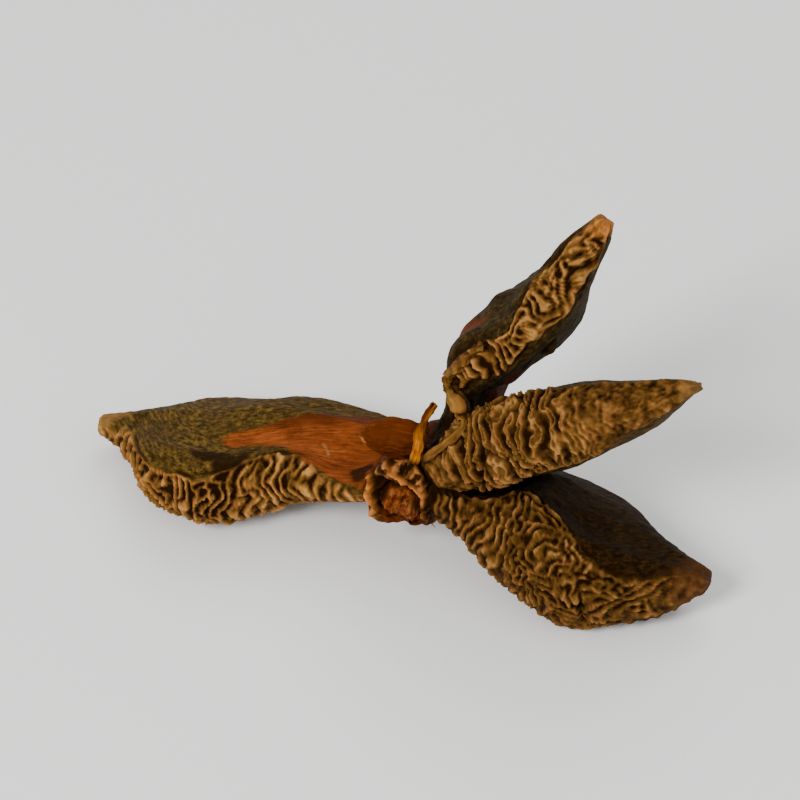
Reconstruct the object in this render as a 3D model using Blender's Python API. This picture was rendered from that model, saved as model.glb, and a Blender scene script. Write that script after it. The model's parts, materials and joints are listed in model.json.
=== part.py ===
"""Broken star anise: four woody pods of the dried fruit, still joined at their hub.

The fruit stands on edge, as half a star does: its axis is nearly level, the stalk scar and the wrinkled
keels face -Y, and the split seams of the pods face +Y. It rests on flat spots worn on its two lowest pods.
The origin is under the middle of the whole, on the surface that it rests on.
Lengths in the tables are millimetres, and the mesh is in metres.
"""

import math

import bmesh
import bpy
import numpy as np
from mathutils import Matrix

MM = 0.001

# The star as a whole. The hub's middle is where the pods' centre lines would meet.
HUB = np.array([1.02, 0.69, 3.9])
AXIS_YAW = 22.0  # degrees the stalk's side of the axis turns from -Y towards -X
AXIS_RISE = 8.0  # degrees that it points above level
BARK_COLOUR = (0.19, 0.085, 0.03, 1.0)

# The relief that covers the pods.
FOLD_PITCH = 0.74  # from one crest to the next
FOLD_WANDER = 0.34  # how far folds stray from even spacing, in folds
LUMP_SIZE, LUMP_HEIGHT = 4.5, 0.14

# Places round a pod's section: 0 on the keel, 11 on the floor of its hollow, and 22 on the keel again.
PLACES = 22
BAND_EDGE = 2.6
HALF_AROUND = (0, 0.5, 1.0, 1.5, 2.0, 2.5, 3.2, 4, 5, 6, 7.2, 8.8, 11)

# One pod. Bearings are degrees round the axis from +X, seen from the stalk's side. Lean tips a pod towards
# the stalk's side and roll turns it about its own length. Sweep bends it sideways at mid length, and drift
# moves it sideways along its length. Knots are (share of the length, size). A swell is a low mound, or a
# hollow where its height is below 0: (share of the length, place round the section from the keel, half
# length, half width, height).
PODS = {
    "left": dict(
        seed=11, bearing=188.2, reach=17.9, root=0.9, lean=0.0, roll=1.0, sweep=-0.4,
        keel=((0, 2.6), (0.15, 2.9), (0.35, 3.7), (0.6, 5.3), (0.74, 4.3), (0.87, 1.7), (0.94, 0.7), (1, 0.4)),
        seam=((0, 2.9), (0.15, 4.2), (0.45, 4.4), (0.7, 3.3), (0.88, 1.8), (1, 0.5)),
        band=((0, 0.8), (0.2, 1.1), (0.4, 1.9), (0.6, 2.1), (0.8, 1.6), (0.93, 0.9), (1, 0.5)),
        flank=((0, 0.8), (0.2, 1.3), (0.45, 2.1), (0.7, 1.8), (0.9, 0.9), (1, 0.5)),
        lip=((0, 0.5), (0.3, 0.9), (0.6, 1.0), (0.85, 0.7), (1, 0.35)),
        gap=0.35, fold=0.16, bend=0.5,
    ),
    "upper": dict(
        seed=23, bearing=63.0, reach=17.4, root=0.9, lean=-12.0, roll=-5.0, sweep=0.0,
        drift=(
            (0, 0), (0.2, -0.2), (0.3, -0.75), (0.4, -0.8), (0.5, -0.35), (0.6, 0), (0.85, -0.15), (1, -0.2),
        ),
        keel=((0, 1.1), (0.15, 1.1), (0.27, 1.9), (0.4, 2.6), (0.6, 3.0), (0.8, 2.1), (0.93, 1.0), (1, 0.5)),
        seam=((0, 2.7), (0.15, 3.0), (0.45, 2.8), (0.7, 2.2), (0.88, 1.2), (1, 0.5)),
        band=((0, 0.4), (0.2, 0.6), (0.4, 1.15), (0.6, 1.4), (0.8, 1.2), (0.93, 0.85), (1, 0.5)),
        flank=((0, 0.6), (0.2, 1.1), (0.45, 1.75), (0.7, 1.5), (0.9, 0.9), (1, 0.5)),
        lip=((0, 0.5), (0.3, 1.4), (0.55, 1.8), (0.85, 0.9), (1, 0.4)),
        swells=((0.54, -4.0, 0.055, 0.9, 0.4), (0.39, -2.5, 0.09, 1.3, 0.5), (0.39, 3.5, 0.07, 1.1, 0.5)),
        gap=0.9, fold=0.13, bend=0.4,
    ),
    "right": dict(
        seed=37, bearing=33.9, reach=16.9, root=0.9, lean=0.0, roll=-27.0, sweep=0.0,
        keel=((0, 2.2), (0.15, 2.6), (0.35, 3.0), (0.6, 2.8), (0.8, 1.9), (0.93, 1.0), (1, 0.5)),
        seam=((0, 2.8), (0.15, 3.7), (0.45, 4.0), (0.7, 3.2), (0.88, 1.9), (1, 0.9)),
        band=((0, 1.2), (0.2, 1.9), (0.4, 2.1), (0.6, 1.8), (0.8, 1.3), (0.93, 0.8), (1, 0.4)),
        flank=((0, 0.9), (0.2, 1.6), (0.45, 2.0), (0.7, 1.6), (0.9, 0.8), (1, 0.4)),
        lip=((0, 0.5), (0.3, 0.9), (0.6, 0.9), (0.85, 0.6), (1, 0.3)),
        swells=((0.1, -1.9, 0.055, 0.9, -0.9), (0.18, 0.75, 0.08, 1.0, 0.3), (0.33, 1.4, 0.05, 0.5, 0.2)),
        gap=0.3, fold=0.15, bend=0.9,
    ),
    "front": dict(
        seed=41, bearing=-7.0, reach=15.9, root=0.9, lean=0.0, roll=-8.0, sweep=0.6,
        keel=((0, 2.8), (0.15, 3.0), (0.35, 4.1), (0.55, 5.2), (0.75, 4.2), (0.93, 1.8), (1, 0.9)),
        seam=((0, 2.8), (0.15, 3.8), (0.45, 4.6), (0.66, 3.5), (0.84, 1.1), (1, 0.5)),
        band=((0, 0.9), (0.2, 1.4), (0.4, 2.5), (0.6, 2.7), (0.8, 2.0), (0.93, 1.2), (1, 0.6)),
        flank=((0, 0.8), (0.2, 1.6), (0.45, 2.4), (0.7, 2.1), (0.9, 1.1), (1, 0.6)),
        lip=((0, 0.5), (0.3, 1.0), (0.6, 1.2), (0.85, 0.8), (1, 0.4)),
        gap=0.5, fold=0.17, bend=0.3,
    ),
}

# The hub: (place along the axis, radius) from the seams' side to the scar, where the stalk broke off inside
# a rim.
HUB_PROFILE = (
    (-3.4, 0.3), (-3.2, 1.0), (-2.6, 1.55), (-1.6, 1.85), (-0.4, 1.95), (0.8, 1.9), (1.7, 1.8), (2.4, 1.75),
    (2.85, 1.6), (3.0, 1.4), (2.95, 1.2), (2.65, 1.06), (2.5, 0.98), (2.68, 0.86), (2.8, 0.6), (2.78, 0.25),
)
HUB_AROUND = 30

# How far the rim reaches at bearings round the axis, how far off the axis the scar's core lies and how much
# wider it is than in the profile, the radii between which the rim is lumpy, and the height of its lumps.
RIM_REACH = (
    (0, 1.45), (12, 1.45), (60, 1.75), (96, 2.0), (150, 1.95), (200, 2.1), (279, 2.1), (330, 1.7), (360, 1.45),
)
CORE_OFFSET = np.array([0.03, -0.48])
CORE_WIDER = 0.22
RIM = (1.1, 1.75)
RIM_LUMP = 0.16
TORN_BEARINGS = (125, 228, 270, 312)  # where a pod was torn off and left a hollow in the hub
TORN_WIDTH, TORN_DEPTH = 17.0, 0.42

# Torn slivers at the hub. A path is a row of (bearing, radius, place along the axis). Wide and thick are
# knots of (share of the path, size). Wide lies along the star's axis when turn is 0, and across it when turn
# is 90.
SLIVERS = {
    "plate": dict(
        path=((84, 2.4, 0.95), (103, 2.55, 1.15), (124, 2.85, 1.25), (141, 3.25, 1.3), (147, 3.45, 1.35)),
        turn=84,
        wide=((0, 2.6), (0.4, 2.7), (0.7, 1.9), (0.9, 0.8), (1, 0.4)), rings=9,
        thick=((0, 0.9), (0.7, 0.8), (1, 0.4)),
    ),
    "fin": dict(
        path=((80, 1.9, 1.6), (80.4, 3.05, 1.4), (82.9, 4.1, 1.3), (80.0, 5.1, 1.2)), turn=0, rings=8,
        wide=((0, 1.3), (0.6, 1.2), (1, 0.8)), thick=((0, 0.65), (0.45, 0.6), (0.75, 0.4), (1, 0.3)),
    ),
    "keel_root": dict(
        path=(
            (66.8, 2.45, 1.75), (62.7, 3.7, 2.0), (59.7, 4.85, 1.95), (59.7, 5.65, 1.5), (64.2, 5.55, 0.9),
            (68.4, 6.1, 0.85), (74.7, 6.45, 0.75), (77.5, 6.8, 0.5), (76.1, 7.75, 0.75), (74.0, 8.55, 0.75),
            (71.4, 9.5, 0.7),
        ),
        turn=0, wide=((0, 1.0), (0.4, 1.2), (0.55, 1.55), (0.8, 1.3), (1, 0.8)), rings=22,
        thick=((0, 0.5), (0.2, 0.4), (0.45, 0.42), (0.5, 0.6), (0.57, 0.85), (0.64, 0.6), (0.8, 0.6), (1, 0.5)),
    ),
    "low_left": dict(
        path=((249, 1.2, -0.4), (249, 1.9, -0.5), (249, 2.5, -0.6)), turn=0,
        wide=((0, 4.4), (0.6, 3.8), (1, 2.0)), thick=((0, 0.8), (1, 0.5)), rings=5,
    ),
    "low_right": dict(
        path=((291, 1.2, -0.2), (291, 2.0, -0.35), (292, 2.7, -0.5)), turn=0,
        wide=((0, 4.0), (0.6, 3.4), (1, 1.8)), thick=((0, 0.8), (1, 0.5)), rings=5,
    ),
}
SLIVER_AROUND = 10


def smooth_through(knots, at):
    """A smooth curve through (place, value) knots, read at the given places."""
    places = np.array([knot[0] for knot in knots], float)
    values = np.array([knot[1] for knot in knots], float)
    slopes = np.gradient(values, places)
    i = np.clip(np.searchsorted(places, at) - 1, 0, len(places) - 2)
    width = places[i + 1] - places[i]
    t = (at - places[i]) / width
    return (
        values[i] * (1 + 2 * t) * (1 - t) ** 2
        + values[i + 1] * t * t * (3 - 2 * t)
        + width * slopes[i] * t * (1 - t) ** 2
        - width * slopes[i + 1] * t * t * (1 - t)
    )


def straight_through(knots, at):
    """The same knots joined by straight lines, for values that must not overshoot."""
    return np.interp(at, [knot[0] for knot in knots], [knot[1] for knot in knots])


def smoothstep(low, high, x):
    t = np.clip((x - low) / (high - low), 0, 1)
    return t * t * (3 - 2 * t)


def unit(v):
    return v / np.linalg.norm(v, axis=-1, keepdims=True)


def wander(seed, points, size):
    """A smooth seeded field that strays between about -1 and 1 over lengths of the given size."""
    draw = np.random.default_rng(seed)
    total = 0.0
    for _ in range(6):
        wave = unit(draw.normal(size=points.shape[-1])) * 2 * math.pi / (size * draw.uniform(0.7, 1.5))
        total = total + np.sin(points @ wave + draw.uniform(0, 2 * math.pi))
    return total / 2.6


def star_axes():
    """The star's own axes as rows: level to the right, upwards, and out through the stalk scar."""
    yaw, rise = math.radians(AXIS_YAW), math.radians(AXIS_RISE)
    right = np.array([math.cos(yaw), -math.sin(yaw), 0.0])
    level = np.array([-math.sin(yaw), -math.cos(yaw), 0.0])
    stalk = level * math.cos(rise) + np.array([0.0, 0.0, math.sin(rise)])
    return np.array([right, np.cross(stalk, right), stalk])


def star_point(bearing, radius, axial):
    """A point by its bearing round the axis, its distance from it and its place along it."""
    angle = np.radians(bearing)
    spot = np.broadcast_arrays(radius * np.cos(angle), radius * np.sin(angle), axial)
    return HUB + np.stack(spot, -1) @ star_axes()


def pod_axes(pod):
    """A pod's own axes: along its length, towards its keel, and sideways."""
    right, up, stalk = star_axes()
    bearing, lean = math.radians(pod["bearing"]), math.radians(pod["lean"])
    spoke = right * math.cos(bearing) + up * math.sin(bearing)
    along = spoke * math.cos(lean) + stalk * math.sin(lean)
    keel = stalk * math.cos(lean) - spoke * math.sin(lean)
    return along, keel, np.cross(along, keel)


def pod_path(pod, s):
    """Points on a pod's centre line at shares s of its length."""
    along, _, side = pod_axes(pod)
    reach = pod["root"] + (pod["reach"] - pod["root"]) * s
    aside = pod["sweep"] * 4 * s * (1 - s)
    if "drift" in pod:
        aside = aside + smooth_through(pod["drift"], s)
    return HUB + reach[..., None] * along + aside[..., None] * side


def pod_section(pod, s, place):
    """How far points of the pod's skin lie sideways and towards the keel, at shares s and places round it."""
    keel, seam, band, flank, lip = (
        np.maximum(smooth_through(pod[name], s), 0.15) for name in ("keel", "seam", "band", "flank", "lip")
    )
    height = keel + seam
    opened = smoothstep(0.16, 0.34, s) * (1 - smoothstep(0.72, 0.93, s))
    gap = opened * pod["gap"] + (1 - opened) * 0.25 * lip
    depth = (opened * 0.62 + (1 - opened) * 0.06) * height
    hollow = opened * np.maximum(flank - 1.0, gap * 0.9) + (1 - opened) * 0.12 * lip
    half = [
        (0 * s, keel),
        (0.62 * band, keel - 0.05 * height),
        (band, keel - 0.19 * height),
        (0.94 * band, keel - 0.34 * height),
        (flank, keel - 0.60 * height),
        (0.5 * (flank + lip), -seam + 0.16 * height),
        (lip, -seam + 0.03 * height),
        (0.4 * lip + 0.6 * gap, -seam),
        (gap, -seam + 0.25 * depth),
        (hollow, -seam + 0.60 * depth),
        (0.6 * hollow, -seam + 0.90 * depth),
        (0 * s, -seam + depth),
    ]
    other_half = [(-across, towards) for across, towards in half[-2:0:-1]]
    knots = np.array(half + other_half)
    below = np.floor(place).astype(int)
    t = place - below
    a, b, c, d = (
        np.take_along_axis(knots, ((below + step) % PLACES)[None, None], axis=0)[0] for step in (-1, 0, 1, 2)
    )
    return 0.5 * (2 * b + (c - a) * t + (2 * a - 5 * b + 4 * c - d) * t**2 + (3 * b - a - 3 * c + d) * t**3)


def pod_skin(pod, s, place):
    """Points on the smooth skin of a pod, before its folds."""
    _, keel, side = pod_axes(pod)
    step = 0.01
    tangent = unit(pod_path(pod, s + step) - pod_path(pod, s - step))
    turn = math.radians(pod["roll"])
    keel = keel * math.cos(turn) + side * math.sin(turn)
    keel = unit(keel - tangent * np.sum(keel * tangent, axis=-1, keepdims=True))
    across, towards = pod_section(pod, s, place)
    return pod_path(pod, s) + across[..., None] * np.cross(tangent, keel) + towards[..., None] * keel


def ends_fade(s, reach):
    return smoothstep(0, reach, s) * (1 - smoothstep(1 - reach, 1, s))


def from_keel(place):
    """The place round the section counted from the keel, below 0 on the other side."""
    return np.where(place < PLACES / 2, place, place - PLACES)


def swelling(pod, s, place):
    """How far the mounds and hollows of a pod lift its skin."""
    total = 0 * s
    for at, off, long, wide, height in pod.get("swells", ()):
        total = total + height * np.exp(-(((s - at) / long) ** 2) - ((from_keel(place) - off) / wide) ** 2)
    return total


def fold_shift(pod, s, place):
    """How many folds the crests lie ahead of even spacing."""
    length = pod["reach"] - pod["root"]
    lateral = from_keel(place)
    spot = np.stack([s * length, 0.8 * lateral], -1)
    bowed = pod["bend"] * np.minimum(np.abs(lateral) / BAND_EDGE, 1.4) ** 2
    return ends_fade(s, 0.16) * (FOLD_WANDER * wander(pod["seed"], spot, 4.2) + bowed)


def fold_rows(pod, place):
    """Shares of the length where a crest or a furrow crosses each place, and which of the rows are crests."""
    count = round((pod["reach"] - pod["root"]) / FOLD_PITCH)
    halves = np.arange(2 * count + 1)[:, None] / 2
    s, place = np.broadcast_arrays(halves / count, place)
    for _ in range(12):
        s = np.clip((halves - fold_shift(pod, s, place)) / count, 0, 1)
    return s, place, halves % 1 == 0


def pod_grid(pod):
    """The pod's surface as rings of points, with its folds and its lumps."""
    half = np.array(HALF_AROUND, float)
    around = np.concatenate([half, PLACES - half[-2:0:-1]])
    s, place, crest = fold_rows(pod, around)
    skin = pod_skin(pod, s, place)
    step = 0.02
    along = pod_skin(pod, s + step, place) - pod_skin(pod, s - step, place)
    across = pod_skin(pod, s, place + 5 * step) - pod_skin(pod, s, place - 5 * step)
    outward = unit(np.cross(across, along))
    lateral = np.abs(from_keel(place))
    banded = (1 - smoothstep(BAND_EDGE - 0.4, BAND_EDGE + 0.7, lateral)) * ends_fade(s, 0.1)
    uneven = 1 + 0.35 * wander(pod["seed"] + 1, skin, 2.2)
    folds = pod["fold"] * np.where(crest, 1.0, -0.8) * banded * uneven
    outside = 1 - smoothstep(6.0, 7.0, lateral)
    lumps = LUMP_HEIGHT * wander(pod["seed"] + 2, skin, LUMP_SIZE) * outside
    return skin + outward * (folds + lumps + swelling(pod, s, place))[..., None]


def hub_grid():
    """The hub as rings round the axis: torn hollows along its sides and a lumpy rim round the scar."""
    bearing = np.arange(HUB_AROUND)[None, :] * 360 / HUB_AROUND
    axial, radius = (np.array(column)[:, None] + 0 * bearing for column in zip(*HUB_PROFILE))
    bearing = bearing + 0 * axial
    for torn in TORN_BEARINGS:
        off = (bearing - torn + 180) % 360 - 180
        radius = radius - TORN_DEPTH * np.exp(-((off / TORN_WIDTH) ** 2)) * (1 - smoothstep(1.0, 2.2, axial))
    outer = smoothstep(0.9, 1.6, radius) * smoothstep(1.0, 2.4, axial)
    inner = (1 - smoothstep(0.9, 1.7, radius)) * smoothstep(1.6, 2.4, axial)
    radius = radius * (1 + outer * (straight_through(RIM_REACH, bearing) / RIM[1] - 1))
    plane = np.stack([radius * np.cos(np.radians(bearing)), radius * np.sin(np.radians(bearing))], -1)
    plane = plane + inner[..., None] * (CORE_WIDER * plane + CORE_OFFSET)
    radius = np.hypot(plane[..., 0], plane[..., 1])
    bearing = np.degrees(np.arctan2(plane[..., 1], plane[..., 0]))
    spot = star_point(bearing, radius, axial)
    on_rim = smoothstep(*RIM, radius) * smoothstep(2.2, 2.7, axial)
    lump = wander(8, spot, 1.1) * RIM_LUMP
    return star_point(bearing, radius + 0.5 * lump * outer, axial + lump * (0.3 + on_rim))


def sliver_grid(sliver):
    """A torn sliver as rings along its path."""
    stops = np.array([star_point(*stop) for stop in sliver["path"]])
    gone = np.concatenate([[0], np.cumsum(np.linalg.norm(np.diff(stops, axis=0), axis=1))])
    shares = gone / gone[-1]
    s = np.linspace(0, 1, sliver["rings"])
    centre = np.stack([smooth_through(list(zip(shares, stops[:, i])), s) for i in range(3)], -1)
    along = unit(np.gradient(centre, axis=0))
    stalk = star_axes()[2]
    wide = unit(stalk - along * (along @ stalk)[:, None])
    thick = np.cross(along, wide)
    turn = math.radians(sliver["turn"])
    wide, thick = wide * math.cos(turn) + thick * math.sin(turn), thick * math.cos(turn) - wide * math.sin(turn)
    angle = np.linspace(0, 2 * math.pi, SLIVER_AROUND, endpoint=False)[None, :]
    across = 0.5 * straight_through(sliver["wide"], s)[:, None] * np.cos(angle)
    deep = 0.5 * straight_through(sliver["thick"], s)[:, None] * np.sin(angle)
    return centre[:, None] + across[..., None] * wide[:, None] + deep[..., None] * thick[:, None]


def loft(name, grid):
    """A closed mesh through rings of points, with its two end rings filled."""
    mesh = bmesh.new()
    rings = [[mesh.verts.new(point * MM) for point in ring] for ring in grid]
    count = len(rings[0])
    for near, far in zip(rings, rings[1:]):
        for i in range(count):
            j = (i + 1) % count
            mesh.faces.new((near[i], near[j], far[j], far[i]))
    mesh.faces.new(rings[0][::-1])
    mesh.faces.new(rings[-1])
    bmesh.ops.triangulate(mesh, faces=mesh.faces[:])
    bmesh.ops.recalc_face_normals(mesh, faces=mesh.faces)
    data = bpy.data.meshes.new(name)
    mesh.to_mesh(data)
    mesh.free()
    return bpy.data.objects.new(name, data)


def fuse(name, pieces, collection):
    """One body from overlapping pieces."""
    united, *others = pieces
    united.name = united.data.name = name
    collection.objects.link(united)
    joined = bpy.data.collections.new("joined")
    bpy.context.scene.collection.children.link(joined)
    for piece in others:
        joined.objects.link(piece)
    union = united.modifiers.new("union", "BOOLEAN")
    union.operation, union.operand_type, union.collection = "UNION", "COLLECTION", joined
    union.solver = "MANIFOLD"
    with bpy.context.temp_override(object=united, active_object=united):
        bpy.ops.object.modifier_apply(modifier=union.name)
    for piece in others:
        bpy.data.objects.remove(piece)
    bpy.data.collections.remove(joined)
    return united


def wear_flat(fruit, collection):
    """Flat spots where the fruit rests, cut by the surface that it stands on."""
    bpy.ops.mesh.primitive_cube_add(size=1)
    ground = bpy.context.object
    ground.name = "ground"
    size = np.array([60.0, 60.0, 10.0]) * MM
    ground.data.transform(Matrix.Diagonal((*size, 1.0)))
    ground.location.z = -size[2] / 2
    ground.hide_render, ground.display_type = True, "WIRE"
    for home in list(ground.users_collection):
        home.objects.unlink(ground)
    collection.objects.link(ground)
    cut = fruit.modifiers.new("worn flat", "BOOLEAN")
    cut.operation, cut.object, cut.solver = "DIFFERENCE", ground, "MANIFOLD"


def bark():
    material = bpy.data.materials.new("dried_bark")
    material.use_nodes = True
    surface = material.node_tree.nodes["Principled BSDF"]
    surface.inputs["Base Color"].default_value = BARK_COLOUR
    surface.inputs["Roughness"].default_value = 0.72
    surface.inputs["Metallic"].default_value = 0.0
    return material


def main():
    for old in list(bpy.data.objects):
        bpy.data.objects.remove(old)
    model = bpy.data.collections.new("broken_star_anise")
    cutters = bpy.data.collections.new("cutters")
    for collection in (model, cutters):
        bpy.context.scene.collection.children.link(collection)
    pieces = [loft("hub", hub_grid())]
    pieces += [loft("pod_" + name, pod_grid(pod)) for name, pod in PODS.items()]
    pieces += [loft(name, sliver_grid(sliver)) for name, sliver in SLIVERS.items()]
    fruit = fuse("star_anise", pieces, model)
    fruit.data.materials.clear()
    fruit.data.materials.append(bark())
    wear_flat(fruit, cutters)


main()
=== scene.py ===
"""Looks of the broken star anise: wrinkled pods, the torn hub with its scar, splinters and a plain stage.

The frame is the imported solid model. Its one node is replaced by finer pieces on the same sections and centre
lines. Lengths in the tables are millimetres, and the meshes are in metres.
"""

import json
import math

import bpy
import numpy as np
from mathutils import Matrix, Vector
from mathutils.kdtree import KDTree

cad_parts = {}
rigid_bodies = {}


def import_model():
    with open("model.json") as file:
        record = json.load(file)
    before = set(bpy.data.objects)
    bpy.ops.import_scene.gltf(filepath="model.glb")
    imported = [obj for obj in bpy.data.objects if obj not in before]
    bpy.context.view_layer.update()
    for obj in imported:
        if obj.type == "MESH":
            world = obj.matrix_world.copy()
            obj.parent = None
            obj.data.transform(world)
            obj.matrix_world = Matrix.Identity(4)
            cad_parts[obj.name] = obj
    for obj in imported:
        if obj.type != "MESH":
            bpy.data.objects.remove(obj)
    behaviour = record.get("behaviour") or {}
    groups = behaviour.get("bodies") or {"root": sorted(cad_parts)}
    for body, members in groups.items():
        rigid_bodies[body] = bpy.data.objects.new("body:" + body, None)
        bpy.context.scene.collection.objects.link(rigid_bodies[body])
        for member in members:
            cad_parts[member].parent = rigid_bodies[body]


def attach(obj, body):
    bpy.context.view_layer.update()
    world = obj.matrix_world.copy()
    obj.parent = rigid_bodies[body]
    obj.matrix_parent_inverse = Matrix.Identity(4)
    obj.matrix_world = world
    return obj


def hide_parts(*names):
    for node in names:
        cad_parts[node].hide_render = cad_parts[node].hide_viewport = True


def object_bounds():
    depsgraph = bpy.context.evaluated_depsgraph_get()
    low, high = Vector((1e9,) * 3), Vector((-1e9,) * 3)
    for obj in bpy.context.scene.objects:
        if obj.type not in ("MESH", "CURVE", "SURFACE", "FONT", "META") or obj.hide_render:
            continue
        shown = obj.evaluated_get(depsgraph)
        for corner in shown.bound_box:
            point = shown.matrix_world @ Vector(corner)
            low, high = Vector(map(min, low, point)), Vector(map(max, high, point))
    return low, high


bl_info = {
    "name": "Broken star anise",
    "version": (1, 0, 0),
    "blender": (4, 5, 0),
    "location": "View3D > Sidebar > Star anise",
    "description": "Makes four wrinkled pods of star anise on their torn hub, and a stage for them",
    "category": "Add Mesh",
}

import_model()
CAD_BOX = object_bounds()
NODE, BODY, SLOT = "star_anise", "root", "dried_bark"
MM = 0.001

# The star as a whole, as in the solid model.
HUB = np.array([1.02, 0.69, 3.9])
AXIS_YAW, AXIS_RISE = 22.0, 8.0
PLACES = 22
LUMP_SIZE, LUMP_HEIGHT = 4.5, 0.14

# The section of a pod: its thinnest part, the shares of the length where the slit opens and closes, and the
# places round the section between which the bark gives way to the smooth lining.
THINNEST = 0.15
SLIT_OPENS, SLIT_CLOSES = (0.16, 0.34), (0.72, 0.93)
BARK_ENDS, LINING_STARTS = (6.0, 7.0), (6.6, 7.6)

# Where the wrinkled keel band ends on a pod's side, and the flank at the lips, in places round the section.
CREASE, LIPS = 2.85, 4.3

# Rows of knots that a pod takes where its table doesn't say.
NOWHERE = ((0, 0), (1, 0))
EVERYWHERE = ((0, 1), (1, 1))
FINE_SHARE = ((0, 0.3), (1, 0.3))

# Places round half a section, close together on the keel band and wide apart in the hollow.
HALF_AROUND = np.concatenate([
    np.linspace(0, 3.4, 64), np.linspace(3.4, 7.2, 58)[1:], np.linspace(7.2, 11, 16)[1:],
])
ROWS = 262
CAP_ROWS, SLIVER_CAP_ROWS = 6, 4

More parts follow.
